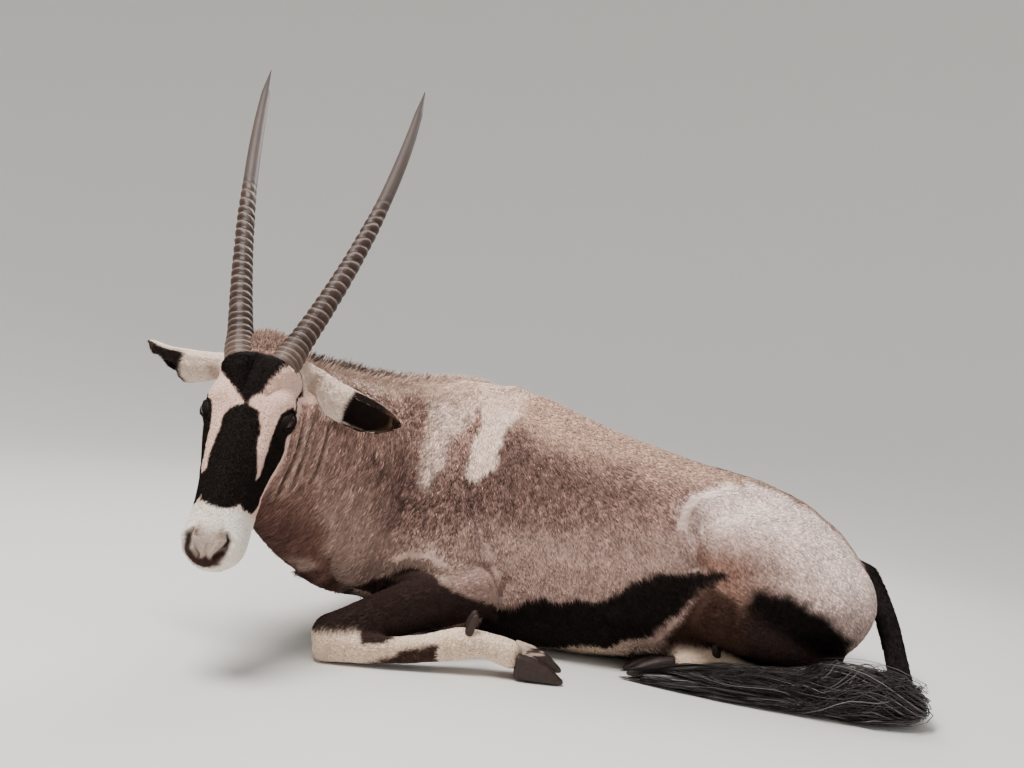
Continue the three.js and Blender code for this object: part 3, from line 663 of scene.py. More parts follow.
# The eyes' middles, their lids and what these stand out, in millimetres along the head's axes
EYE_PLACES = {side: np.array([side * 63, -31, 105]) for side in (1, -1)}
EYE_SIGHT = (0.9, 0.42, 0.05)
EYE_FORWARD = (0.0, 0.35, 1.0)
LID_OPENING = (0.9, 0.44)  # half length and height, in eye radii
LID = 1.5
LID_RIM = 1.2
LID_CREASE = 1.6


def eye_axes(side):
    """The eye's forward, upward and sight directions, along the head's axes."""
    sight = unit(np.array(EYE_SIGHT) * (side, 1, 1))
    forward = unit(EYE_FORWARD - sight * (EYE_FORWARD @ sight))
    return np.array([forward, np.cross(forward, sight) * side, sight])


def shape_lids(co, side):
    """Opens the skin over one eye and lays its lids round the ball."""
    axes = eye_axes(side)
    radius = EYE_RADIUS / MM
    h = to_head(co)
    q = h - EYE_PLACES[side]
    a, b, c = (q @ axes.T).T
    length, height = (share * radius for share in LID_OPENING)
    spread = np.hypot(a / length, b / height)
    near = (spread < 3) & (c > -0.4 * radius) & (np.linalg.norm(q, axis=1) < 3 * radius)
    rim = near & (spread > 0.86) & (spread < 1.14)
    to_rim = np.where(rim, 1 / np.maximum(spread, 0.01), 1)
    a, b = a * to_rim, b * to_rim
    spread = np.where(rim, 1.0, spread)
    reach = np.where(spread < 0.99, radius * 0.8, radius + LID + LID_RIM * hump(spread - 1.12, 0.16))
    flat = a**2 + b**2
    ball = np.sqrt(np.maximum(reach**2 - flat, 0))
    share = np.where(flat < reach**2, ease_off(spread, 1.25, 2.3), 0)
    crease = LID_CREASE * hump(spread - 1.75, 0.2) * (b > 0)
    c = np.where(near, c + (ball - c) * share - crease, c)
    placed = EYE_PLACES[side] + np.stack([a, b, c], axis=1) @ axes
    return on_head(np.where(near[:, None], placed, h))


EAR_ROOT = 0.014  # how deep an ear's root sinks in the head
EAR_GRAIN = 0.0018
EAR_INSET = 0.0004


def add_ear(skin, name):
    """Joins one ear, its root sunk in the head, to the skin."""
    ear = remeshed(joined_copy([name], 0), EAR_GRAIN)
    co = relax(ear.data, points_of(ear.data), np.full(len(ear.data.vertices), 0.5), 8)
    co -= normals_of(ear.data) * EAR_INSET
    root = on_head((62 if name == EARS[0] else -62, -58, -8))
    way = unit(co[np.linalg.norm(co - root, axis=1).argmax()] - root)
    along = (co - root) @ way
    co -= way * (EAR_ROOT * ease_off(along - along.min(), 0.004, 0.03))[:, None]
    set_points(ear.data, co)
    join = skin.modifiers.new("ear", "BOOLEAN")
    join.operation = "UNION"
    join.solver = "MANIFOLD"
    join.object = ear
    apply_modifiers(skin)
    bpy.data.objects.remove(ear)


def regained(mesh, solid, co):
    """How far each smoothed point sank below the solids' own surface, evened out over its neighbours."""
    sunk = np.zeros(len(co))
    for i, point in enumerate(co):
        place, normal, _, _ = solid.find_nearest(Vector(point))
        sunk[i] = (place - Vector(point)).dot(normal)
    return blurred(mesh, np.clip(sunk, 0, 0.02), 12)


HORN_BASE = (41, -22, -4)
HORN_BACK_BOW = 0.026  # how far a horn bows backwards
# Each side's tip, and how far the horn bows outwards
HORNS = {1: ((-0.222, 0.061, 1.214), 0.052), -1: ((-0.579, 0.076, 1.206), 0.043)}
# Height along a horn from its base, and how wide the skin stands round it there
HORN_COLLAR = np.array([[-0.1, 0.0], [-0.066, 0.016], [-0.046, 0.0245], [-0.03, 0.0278], [-0.023, 0.0266],
                        [-0.02, 0.0]])


def horn_bow(side):
    """The base of a horn, the point that its bow bends to, and its tip."""
    tip, bow = HORNS[side]
    base = on_head(np.array(HORN_BASE) * (side, 1, 1))
    return base, (base + tip) / 2 + HEAD_AXES[0] * side * bow - HEAD_AXES[1] * HORN_BACK_BOW, np.array(tip)


def raise_horn_bases(co):
    """Widens the skin round each horn's foot, so that the horn comes out of a low collar."""
    for side in HORNS:
        base, bend, _ = horn_bow(side)
        way = unit(bend - base)
        high = (co - base) @ way
        off = co - base - high[:, None] * way
        away = np.linalg.norm(off, axis=1)
        wanted = np.interp(high, *HORN_COLLAR.T, left=0, right=0)
        push = np.maximum(wanted - away, 0) * (away > 0.004) * (to_head(co)[:, 1] > -50)
        co = co + off / np.maximum(away, 1e-6)[:, None] * push[:, None]
    return co


def refine_features(mesh):
    """Makes the mesh finer on the eyes, the muzzle, the mouth and the neck's folds."""
    co = points_of(mesh)
    h = to_head(co)
    down = h[:, 2]
    left, high, _ = np.abs(h).T
    eye = np.linalg.norm(np.abs(h) - np.abs(EYE_PLACES[1]), axis=1) < 34
    muzzle = (down > 296) & (left < 60) & (high < 120)
    mouth = (down > 225) & (np.abs(high - 71) < 14) & (left < 60)
    refine(mesh, eye | muzzle | mouth | near_folds(co, 0.018))


def build_skin():
    skin = remeshed(joined_copy(FLESH, MM), VOXEL)
    set_points(skin.data, press_mane(points_of(skin.data)))
    skin = remeshed(skin, VOXEL)
    skin.name = "skin"
    mesh = skin.data
    co = points_of(mesh)
    labels = nearest_nodes(co)
    solid = BVHTree.FromPolygons([Vector(p) for p in co], [p.vertices for p in mesh.polygons])
    co = relax(mesh, co, by_family(mesh, labels, SMOOTHING, 6), SMOOTH_ROUNDS)
    co, normals = set_points(mesh, co)
    co, normals = set_points(mesh, co + normals * regained(mesh, solid, co)[:, None])
    trunk = 1 - by_family(mesh, labels, {"limb": 1, "head": 1, "tail": 1}, 4)
    out = body_relief(co, normals) * trunk - by_family(mesh, labels, INSET, 6)
    co, _ = set_points(mesh, co + normals * out[:, None])
    refine(mesh, (by_family(mesh, labels, {"head": 1}, 2) > 0.5) | near_folds(co, 0.03))
    refine_features(mesh)
    co = points_of(mesh)
    h = to_head(co)
    on_the_head = (h[:, 2] > -60) & (np.linalg.norm(h[:, :2] + (0, HEAD_CORE), axis=1) < 150)
    co = raise_horn_bases(relax(mesh, co, on_the_head * 0.5, 3))
    co, normals = set_points(mesh, co)
    co += normals * (head_relief(co) * MM * on_the_head + fold_relief(co))[:, None]
    for side in EYE_PLACES:
        co = shape_lids(co, side)
    co[:, 2] = np.maximum(co[:, 2], SKIN_FLOOR)
    set_points(mesh, co)
    for name in EARS:
        add_ear(skin, name)
    return skin


# Markings: colours as read on a screen, and the places of their edges

CREAM = linear(232, 204, 188)
BAND = linear(245, 222, 209)
GRIZZLE = linear(160, 130, 120)
DARK_GRIZZLE = linear(100, 78, 73)
BACK_TAN = linear(194, 162, 146)
SHOULDER_PALE = linear(175, 149, 139)
LOWER_FLANK = linear(170, 143, 134)
# The throat's brown, darkened as painted shade: on the lower neck, and at half strength under the jaw and in
# the neck's folds
THROAT_SHADE = linear(112, 82, 75)
POLL_BROWN = linear(150, 124, 112)
# Painted highlight on the ridges of skin folds
FOLD_HIGHLIGHT = linear(206, 180, 166)
RUMP_WHITE = linear(249, 226, 219)
# The rump's pinkish white, darkened as painted shade on its lower part and behind the thigh's crease
RUMP_PINK_SHADE = linear(150, 117, 105)
BLACK = linear(22, 15, 13)
FOREARM_BLACK = linear(56, 42, 39)
STIFLE_BROWN = linear(62, 43, 36)
STREAK_BROWN = linear(72, 54, 48)
BELLY = linear(206, 184, 168)
WHITE = linear(255, 224, 203)
FACE_WHITE = linear(238, 204, 189)
MUZZLE_WHITE = linear(255, 240, 230)
NOSE_PINK = linear(152, 118, 104)
NOSTRIL_BROWN = linear(58, 40, 37)
TAIL_BLACK = linear(32, 26, 25)
EAR_WHITE = linear(240, 220, 206)
EAR_DARK = linear(36, 26, 23)
EAR_RUST = linear(124, 90, 72)

# Side markings: distance along the body and height
TAN_EDGE = np.array([[0.06, 0.49], [0.135, 0.455], [0.223, 0.433], [0.352, 0.430], [0.445, 0.409],
                     [0.6, 0.39]])
SADDLE_EDGE = np.array([[0.0, 0.29], [0.084, 0.283], [0.144, 0.294], [0.303, 0.30], [0.41, 0.33],
                        [0.5, 0.37]])
FRONT_BAND = [(-0.104, 0.505), (0.0, 0.505), (-0.03, 0.46), (-0.057, 0.43), (-0.07, 0.378), (-0.089, 0.322),
              (-0.113, 0.378), (-0.111, 0.43)]
REAR_BAND = [(0.006, 0.54), (0.092, 0.54), (0.088, 0.515), (0.059, 0.462), (0.039, 0.365), (0.01, 0.346),
             (-0.018, 0.365), (0.004, 0.462)]
WITHERS_CREAM = [(-0.125, 0.497), (-0.06, 0.507), (-0.005, 0.497), (0.06, 0.5), (0.098, 0.505), (0.11, 0.56),
                 (0.06, 0.62), (-0.16, 0.62)]
UNDER_BANDS = [(-0.2, 0.37), (-0.06, 0.36), (0.03, 0.36), (0.07, 0.29), (-0.02, 0.25), (-0.14, 0.24)]
CREASE = np.array([[0.48, 0.22], [0.458, 0.26], [0.449, 0.299], [0.434, 0.318], [0.45, 0.363], [0.47, 0.384],
                   [0.56, 0.415], [0.7, 0.43]])
FLANK_STRIPE = [(0.055, 0.085), (0.1, 0.103), (0.131, 0.123), (0.21, 0.137), (0.302, 0.16), (0.345, 0.198),
                (0.39, 0.221), (0.49, 0.23), (0.552, 0.241), (0.54, 0.222), (0.513, 0.204), (0.476, 0.179),
                (0.443, 0.135), (0.42, 0.107), (0.37, 0.068), (0.323, 0.042), (0.224, 0.014), (0.12, 0.006),
                (0.05, 0.02)]
THIGH_BLACK = [(0.56, 0.15), (0.578, 0.165), (0.59, 0.208), (0.613, 0.221), (0.682, 0.214), (0.736, 0.188),
               (0.801, 0.152), (0.845, 0.11), (0.85, 0.0), (0.62, 0.0), (0.6, 0.05), (0.572, 0.105)]
STIFLE = [(0.502, 0.197), (0.47, 0.15), (0.44, 0.09), (0.42, 0.0), (0.6, 0.0), (0.57, 0.13), (0.536, 0.165)]
FOREARM_RIM = np.array([[-0.27, 0.075], [-0.221, 0.1], [-0.165, 0.13], [-0.13, 0.154], [-0.103, 0.17],
                        [-0.073, 0.17], [-0.045, 0.157], [-0.012, 0.138], [0.015, 0.129], [0.045, 0.123],
                        [0.085, 0.11]])
KNEE_WHITE = 0.053
THROAT_LINE = [(-0.40, -0.43, 0.30), (-0.388, -0.398, 0.274), (-0.345, -0.32, 0.21), (-0.29, -0.225, 0.14),
               (-0.222, -0.125, 0.078), (-0.15, -0.04, 0.02)]
FORE_STREAK = np.array([[-0.2, 0.0], [-0.14, 0.018], [-0.1, 0.04], [-0.045, 0.053], [-0.02, 0.053]])
KNEE_TOP = np.array([[-0.19, 0.052], [-0.172, 0.041], [-0.13, 0.053], [-0.09, 0.068]])

# Head markings: millimetres to the head's left and down the face, or degrees round it and millimetres down
FOREHEAD = [(-69, 12), (-62, 34), (-50, 48), (-30, 68), (-15, 81), (-2, 94), (4, 92), (7, 87), (21, 72),
            (33, 50), (47, 24), (60, 8), (64, -30), (24, -30), (12, -6), (0, -8), (-12, -6), (-24, -30),
            (-66, -30)]
BLAZE = [(-3, 90), (-4, 98), (-24, 107), (-33, 121), (-32, 151), (-37, 190), (-36, 227), (-31, 270),
         (-14, 277), (4, 281), (18, 279), (31, 271), (38, 258), (47, 262), (52, 240), (46, 218), (42, 196),
         (38, 177), (34, 156), (33, 131), (23, 107), (4, 98), (3, 90)]
CHEEK = [(67, 78), (59, 92), (55, 119), (56, 151), (60, 182), (63, 206), (58, 219), (40, 222), (36, 262),
         (52, 274), (84, 268), (104, 248), (112, 236), (113, 221), (107, 201), (104, 182), (96, 157),
         (85, 134), (80, 117), (79, 96), (76, 86)]
TEMPLE_LINE = [(76, 90), (74, 65), (92, 40), (88, 22), (74, 8)]
BRIDGE = [(0, 222), (50, 219), (60, 225), (70, 262), (0, 262)]
JAW_EDGE = np.array([[0, 112], [30, 108], [60, 92], [95, 86], [117, 85], [134, 94], [157, 107], [184, 115],
                     [201, 119], [221, 124], [238, 124], [270, 150], [300, 180]])
MOUTH_SHADE = [(-34, -18, 322), (-33, -25, 346), (-18, -34, 360), (-3, -36, 362), (13, -34, 356),
               (26, -22, 344), (29, -20, 324)]


def within(flat, outline, low, high):
    """From 0 outside an outline to 1 inside it, softly between two depths."""
    return ease(outline_depth(flat, outline), low, high)


def ragged(points, sizes, seed):
    """Points shaken by smooth noise, so that edges follow the hair."""
    shaken = points.copy()
    for i, (reach, size) in enumerate(sizes):
        for axis in range(3):
            shaken[:, axis] += reach * lattice_noise(points, size, seed + 7 * i + axis)
    return shaken


GRAIN = 0.75  # how much single hairs differ where no marking lies


class Paint:
    """The coat's colour at each point, and how much its single hairs differ there."""

    def __init__(self, count):
        self.colour = np.tile(GRIZZLE, (count, 1))
        self.grain = np.full(count, GRAIN)

    def lay(self, shade, share, grain):
        """Lays a shade and its grain over the rest, by its share at each point."""
        self.colour += (shade - self.colour) * share[:, None]
        self.grain += (grain - self.grain) * share


def paint_trunk(coat, points, kinds):
    p = ragged(points, [(0.009, 0.03), (0.006, 0.009)], 11)
    x, across, z = p.T
    flat = p[:, [0, 2]]
    neck = kinds["neck"]
    low_neck = neck * ease_off(z + 0.3 * x, 0.12, 0.32)
    chest_edge = np.interp(z, *np.array(SHOULDER_FRONT).T[::-1])
    before = ease_off(x - chest_edge, -0.012, 0.016)
    # Lower neck before the shoulder: brown that is partly its own colour and partly painted shade
    coat.lay(THROAT_SHADE, low_neck * 0.85 * before, 0.3)
    coat.lay(SHOULDER_PALE, low_neck * 0.8 * (1 - before), 0.35)
    coat.lay(SHOULDER_PALE, (1 - neck) * ease_off(z, 0.2, 0.3), 0.35)
    coat.lay(DARK_GRIZZLE, within(flat, UNDER_BANDS, -0.05, 0.03) * 0.7, 0.9)
    saddle_low = np.interp(x, *SADDLE_EDGE.T)
    tan_low = np.interp(x, *TAN_EDGE.T)
    behind = ease(x, -0.02, 0.03)
    dark = behind * np.interp(x, [0.0, 0.2, 0.34, 0.44], [0.9, 0.76, 0.4, 0.08])
    coat.lay(LOWER_FLANK, behind * ease_off(z, saddle_low - 0.05, saddle_low + 0.02), 0.25)
    coat.lay(DARK_GRIZZLE, dark * ease(z, saddle_low - 0.08, saddle_low + 0.05), 0.95)
    coat.lay(BACK_TAN, ease(x, 0.03, 0.07) * ease(z, tan_low - 0.045, tan_low + 0.03), 0.4)
    coat.lay(BAND, within(flat, FRONT_BAND, -0.014, 0.012) * 0.66, 0.4)
    coat.lay(BAND, within(flat, REAR_BAND, -0.005, 0.005) * 0.95, 0.2)
    coat.lay(CREAM, within(flat, WITHERS_CREAM, -0.01, 0.01) * 0.8, 0.25)
    coat.lay(CREAM, ease_off(path_distance(p, MANE_LINE)[0], 0.04, 0.066) * 0.9, 0.25)
    paint_rump(coat, x, across, z)
    coat.lay(BELLY, ease_off(z, 0.03, 0.08) * (1 - neck) * ease(x, 0.0, 0.1), 0.15)
    outer = ease(np.abs(points[:, 1]), 0.1, 0.13)
    coat.lay(BLACK, within(flat, FLANK_STRIPE, -0.005, 0.007) * outer, 0.05)
    coat.lay(STIFLE_BROWN, within(flat, STIFLE, -0.012, 0.014) * outer, 0.2)
    coat.lay(BLACK, within(flat, THIGH_BLACK, -0.014, 0.012) * outer, 0.05)
    # Painted shade under the jaw
    under_jaw_shade = neck * ease_off(x + 0.35 * z, -0.28, -0.18) * ease_off(z, 0.22, 0.36)
    coat.lay(THROAT_SHADE * 0.5, under_jaw_shade * 0.75, 0.4)
    coat.lay(BLACK * 2, ease_off(path_distance(p, THROAT_LINE)[0], 0.012, 0.036) * 0.9, 0.05)
    for path in NECK_FOLDS:
        away, share = path_distance(points, path)
        ends = neck * ease(share, 0.0, 0.15) * ease_off(share, 0.8, 1.0)
        # Painted light on each neck fold: a highlight beside it and shade in its groove
        coat.lay(FOLD_HIGHLIGHT, 0.45 * ends * hump(away - 0.009, 0.0045), 0.3)
        coat.lay(THROAT_SHADE * 0.5, 0.75 * ends * hump(away, 0.0042), 0.3)


def paint_rump(coat, x, across, z):
    """The white rump behind the thigh's crease, its pinkish painted shade low down and just behind the
    crease, and the dark stripe along the spine.
    """
    front = np.interp(z, *CREASE.T[::-1])
    soft = 0.03 * ease(z, 0.3, 0.36)
    rump = ease((x - front + soft) / (1 + 60 * soft), -0.006, 0.03)
    coat.lay(RUMP_WHITE, rump, 0.35)
    # Painted shade: the rump darker low down and just behind the crease
    coat.lay(RUMP_PINK_SHADE, rump * ease_off(x, 0.54, 0.78) * ease_off(z, 0.25, 0.37), 0.3)
    shade = rump * hump(x - front - 0.022, 0.02) * ease_off(z, 0.34, 0.4)
    coat.lay(RUMP_PINK_SHADE * 0.7, shade * 0.7, 0.3)
    coat.lay(RUMP_PINK_SHADE, rump * 0.4 * ease_off(z, 0.15, 0.28), 0.3)
    spine = ease_off(np.abs(across), 0.045, 0.085) * ease(z, 0.2, 0.27)
    coat.lay(BACK_TAN * 0.75, ease(x, 0.36, 0.62) * spine, 0.5)
    stripe = ease(x, 0.4, 0.66) * ease_off(np.abs(across), 0.01, 0.024)
    coat.lay(BLACK * 2.2, stripe * ease(z, 0.2, 0.25), 0.2)


def paint_limbs(coat, points, kinds):
    p = ragged(points, [(0.005, 0.02), (0.003, 0.006)], 23)
    x, z = p[:, 0], p[:, 2]
    away = np.abs(points[:, 1])
    rim = np.interp(x, *FOREARM_RIM.T)
    outer = (away > 0.17) * (x > -0.27) * (x < 0.09) * (1 - kinds["neck"])
    # Painted highlight on the skin fold's ledge above the forearm's rim
    ledge = hump(z - rim - 0.006, 0.006) * ease(x, -0.17, -0.13) * ease_off(x, -0.06, -0.02)
    coat.lay(FOLD_HIGHLIGHT, ledge * outer * 0.7, 0.1)
    forearm = np.clip(kinds["forearm"] * (x < 0.06) + outer, 0, 1)
    below_rim = ease_off(z - rim, -0.003, 0.004)
    coat.lay(FOREARM_BLACK, forearm * below_rim, 0.1)
    coat.lay(FOREARM_BLACK, kinds["gaskin"] * ease_off(z, 0.13, 0.17) * ease(x, 0.55, 0.62), 0.1)
    coat.lay(STIFLE_BROWN, kinds["gaskin"] * ease_off(x, 0.55, 0.62), 0.2)
    coat.lay(WHITE, kinds["foot"], 0.1)
    knee = ease_off(z, KNEE_WHITE - 0.003, KNEE_WHITE + 0.004) * ease_off(x, -0.19, -0.17)
    coat.lay(WHITE, knee * (away > 0.2), 0.1)
    top = np.interp(x, *FORE_STREAK.T)
    streak = ease_off(z - top, -0.007, 0.005) * ease_off(x, -0.035, -0.027) * (away > 0.3)
    streak += ease(x, 0.58, 0.6) * ease_off(x, 0.76, 0.78) * ease_off(z, 0.03, 0.038)
    coat.lay(STREAK_BROWN, np.clip(kinds["foot"] * 4, 0, 1) * streak, 0.3)
    above = ease(z - np.interp(x, *KNEE_TOP.T), -0.003, 0.003) * below_rim
    above *= ease(x, -0.182, -0.172) * ease_off(x, -0.1, -0.08)
    coat.lay(FOREARM_BLACK, above * (away > 0.2), 0.1)


def paint_head(coat, points, share):
    """Paints the head over the rest by its share."""
    h = to_head(ragged(points, [(0.0018, 0.012), (0.0008, 0.004)], 31))
    left, out, down = h.T
    turn = around_head(left, out)
    face = FACE_WHITE + (MUZZLE_WHITE - FACE_WHITE) * ease(down, 262, 285)[:, None]
    face *= 1 + 0.05 * lattice_noise(points, 0.03, 41)[:, None] * np.array([0.3, 1.0, 1.4])
    white = ease_off(turn - np.interp(down, *JAW_EDGE.T), -2, 3)
    chin = ease(down, 235, 255) * ease_off(np.hypot(left, out + HEAD_CORE), 78, 90)
    coat.lay(face, share * np.maximum(white, chin), 0.08)
    flat = np.stack([left, down], axis=1)
    around = np.stack([turn, down], axis=1)
    front = share * (out > -75)
    coat.lay(BLACK, within(flat, FOREHEAD, -2, 2) * front * (turn < 90), 0.03)
    coat.lay(BLACK, within(flat, BLAZE, -1.6, 1.6) * front * (turn < 75), 0.03)
    coat.lay(BLACK, within(around, CHEEK, -1.6, 1.6) * share, 0.03)
    coat.lay(BLACK, within(around, BRIDGE, -1.6, 1.6) * share * (np.abs(left) < 60), 0.03)
    coat.lay(BLACK * 1.5, ease_off(path_distance(around, TEMPLE_LINE)[0], 1.6, 3.2) * share, 0.05)
    for place in EYE_PLACES.values():
        round_eye = ease_off(np.linalg.norm(h - place, axis=1), 22, 25)
        coat.lay(BLACK, share * round_eye * ease(turn, 52, 56), 0.03)
    muzzle = share * (out > -40)
    nose = ease_off(np.abs(left), 17, 31) * ease(down, 302, 330)
    coat.lay(NOSE_PINK, nose * muzzle * 0.65, 0.1)
    for side in (1, -1):
        spot = np.hypot((left - side * 21) / 9, (down - 322) / 11)
        coat.lay(NOSE_PINK * 0.7, hump(spot, 1.0) * muzzle * 0.7, 0.1)
    line, along = path_distance(h, MOUTH_SHADE)
    wide = 3.0 + 6.5 * hump(along - 0.5, 0.24)
    coat.lay(NOSTRIL_BROWN * 1.6, ease_off(line, wide, wide + 8) * share * 0.7, 0.05)
    coat.lay(NOSTRIL_BROWN, ease_off(line, wide - 2, wide + 3) * share, 0.05)
    poll = ease_off(down, -8, 2) * ease_off(np.abs(left), 34, 46) * (out > -70)
    coat.lay(POLL_BROWN, share * poll, 0.7)


EAR_LINES = {
    "ear_left": np.array([[-0.368, -0.41, 0.516], [-0.332, -0.404, 0.502], [-0.276, -0.4, 0.478],
                          [-0.217, -0.395, 0.458], [-0.16, -0.385, 0.45]]),
    "ear_right": np.array([[-0.448, -0.412, 0.519], [-0.49, -0.402, 0.51], [-0.534, -0.384, 0.506],
                           [-0.584, -0.35, 0.509], [-0.647, -0.306, 0.538]]),
}
# Where along each ear its dark cup starts, how far round the ear it reaches, and the way the ear opens
EAR_EDGE = {"ear_left": (0.5, 0.1), "ear_right": (0.4, -0.35)}
EAR_OPEN = {"ear_left": (0.1, -0.93, -0.35), "ear_right": (-0.62, -0.2, -0.75)}
EAR_CURVE = 40  # how much later the cup starts away from the ear's middle line


def paint_ear(coat, points, normals, ear, share):
    away, along = path_distance(ragged(points, [(0.003, 0.014), (0.0012, 0.004)], 43), EAR_LINES[ear])
    facing = normals @ EAR_OPEN[ear]
    start, turn = EAR_EDGE[ear]
    start = start + EAR_CURVE * (away - 0.02) ** 2
    inside = share * ease(facing, turn - 0.15, turn + 0.2) * ease(along, start - 0.01, start + 0.035)
    coat.lay(EAR_WHITE, share, 0.12)
    coat.lay(EAR_RUST, share * hump(along - 0.2, 0.05) * ease(facing, 0.2, 0.8) * 0.45, 0.2)
    coat.lay(EAR_DARK, inside, 0.05)
    coat.lay(EAR_RUST, inside * ease(along, 0.78, 0.9) * hump(facing - 0.45, 0.3) * 0.8, 0.15)
    rim = ease(along, start + 0.04, start + 0.12) * hump(facing, 0.3)
    coat.lay(EAR_DARK, share * np.maximum(rim * 0.9, ease(along, 0.93, 0.96)), 0.05)


def paint(points, normals, kinds):
    """The coat's colour at each point, and how much its single hairs differ."""
    coat = Paint(len(points))
    paint_trunk(coat, points, kinds)
    paint_limbs(coat, points, kinds)
    coat.lay(TAIL_BLACK, np.clip(kinds["tail"] * 3, 0, 1), 0.05)
    paint_head(coat, points, kinds["head"])
    for ear in EARS:
        paint_ear(coat, points, normals, ear, kinds[ear])
    return np.clip(coat.colour, 0.003, 0.95), np.clip(coat.grain, 0, 1)


# Kinds of part, by how the names of their nodes end; all other points belong to the trunk
KINDS = {
    "neck": "neck",
    "head": "head",
    "tail": "tail",
    "forearm": "forearm",
    "gaskin": "gaskin",
    "foot": ("cannon", "pastern"),
    "thigh": "thigh",
    "shoulder": "shoulder",
    "ear_left": "ear_left",
    "ear_right": "ear_right",
}


def kinds_of(mesh, labels):
    """How far each point of the skin belongs to each kind of part, softly."""
    kinds = {}
    for kind, endings in KINDS.items():
        belongs = np.array([n.endswith(endings) for n in COATED])
        kinds[kind] = blurred(mesh, belongs[labels], 3)
    left, out, down = to_head(points_of(mesh)).T
    back = np.maximum(ease_off(down, 235, 250), ease(-out, 110, 135))
    past_jaw = ease(around_head(left, out) - np.interp(down, *JAW_EDGE.T), 2, 14)
    throat = past_jaw * back * ease(down, -20, 20)
    kinds["neck"] = kinds["neck"] + kinds["head"] * throat
    kinds["head"] = kinds["head"] * (1 - throat)
    return kinds


# Coat: the way the hair lies, and closed tufts along it

SEED = 7
TUFTS = 294000
COAT_LAYERS = 6
TUFT_SINK = 0.0009
TUFT_SHAKE = 0.16
TUFT_MIDDLE = 0.42  # the share of a tuft's length at which it is thickest
TUFT_ARCH = 0.11
TUFT_RISE = 0.0005
HAIR_FLOOR = 0.0004  # the lowest that a hair reaches
PATCH = 0.003  # a tuft's patch on the unwrapped skin
TAIL = np.array([[0.905, 0.0, 0.258], [0.95, -0.012, 0.252], [0.976, -0.048, 0.21], [0.982, -0.106, 0.154],
                 [0.967, -0.18, 0.103], [0.946, -0.246, 0.067], [0.93, -0.29, 0.046]])
EAR_WAYS = {"ear_left": np.array([0.208, 0.025, -0.066]), "ear_right": np.array([-0.19, 0.1, 0.0])}
# Hair length, width and density by kind of part
HAIR = {
    "trunk": (0.0135, 0.0015, 1.0),
    "neck": (0.0165, 0.0016, 1.1),
    "thigh": (0.0135, 0.0015, 1.0),
    "shoulder": (0.0135, 0.0015, 1.0),
    "head": (0.0058, 0.0009, 3.2),
    "forearm": (0.010, 0.0013, 1.6),
    "gaskin": (0.010, 0.0013, 1.6),
    "foot": (0.0075, 0.0011, 2.6),
    "tail": (0.03, 0.0018, 2.4),
    "ear_left": (0.0075, 0.0009, 3.2),
    "ear_right": (0.0075, 0.0009, 3.2),
}
# How far the body's hair lies back along the body, and how far down at each height
FLOW_BACK = np.array([[-0.3, -0.45], [-0.05, -0.15], [0.1, 0.3], [0.4, 0.6], [0.9, 0.9]])
FLOW_DOWN = np.array([[0.0, -1.0], [0.2, -1.0], [0.45, -0.7], [0.55, -0.2]])


def mixed(kinds, values):
    """A value for each point from the values of the kinds that it belongs to."""
    total = (1 - np.clip(sum(kinds.values()), 0, 1)) * values["trunk"]
    for kind, share in kinds.items():
        total += share * values[kind]
    return total


def hair_flow(mesh, co, normals, kinds):
    """The direction in which the hair lies at each point of the skin."""
    x, y, z = co.T
    side = np.where(y > 0, 1.0, -1.0)
    zero = x * 0
    body = np.stack([np.interp(x, *FLOW_BACK.T), zero, np.interp(z, *FLOW_DOWN.T)], axis=1)
    ways = {kind: body for kind in HAIR}
    ways["neck"] = np.array([[-0.45, -0.3, -0.85]])
    ways["head"] = FACE_DOWN + HEAD_AXES[0] * np.clip(to_head(co)[:, :1] / 50, -1, 1) * 0.35
    ways["forearm"] = np.stack([zero - 0.3, 0.154 * side, zero - 0.088], axis=1)
    ways["foot"] = np.stack([np.where(x < 0.3, 1.0, -1.0), zero, zero], axis=1)
    ways["gaskin"] = np.stack([zero + 0.3, -0.03 * side, zero - 0.11], axis=1)
    ways["tail"] = read_along(path_distance(co, TAIL)[1], TAIL, np.gradient(TAIL, axis=0))
    ways.update(EAR_WAYS)
    shares = {"trunk": 1 - np.clip(sum(kinds.values()), 0, 1), **kinds}
    flow = sum(unit(way) * shares[kind][:, None] for kind, way in ways.items())
    for _ in range(2):
        flow = unit(flow - normals * np.sum(flow * normals, axis=1)[:, None])
        flow = relax(mesh, flow, np.full(len(co), 0.9), 6)
    return unit(flow)


def unwrap(thing):
    """Unwraps the skin's own shape."""
    thing.data.uv_layers.new(name=PATCH_MAP)
    bpy.ops.object.select_all(action="DESELECT")
    bpy.context.view_layer.objects.active = thing
    thing.select_set(True)
    bpy.ops.object.mode_set(mode="EDIT")
    bpy.ops.mesh.select_all(action="SELECT")
    bpy.ops.uv.smart_project(angle_limit=math.radians(66), island_margin=0.001)
    bpy.ops.object.mode_set(mode="OBJECT")


def triangles_of(mesh):
    """Each triangle's points, and its corners on the unwrapped skin."""
    mesh.calc_loop_triangles()
    corners = read_all(mesh.loop_triangles, "vertices", 3, np.int32)
    loops = read_all(mesh.loop_triangles, "loops", 3, np.int32)
    return corners, read_all(mesh.uv_layers[PATCH_MAP].data, "uv", 2)[loops]


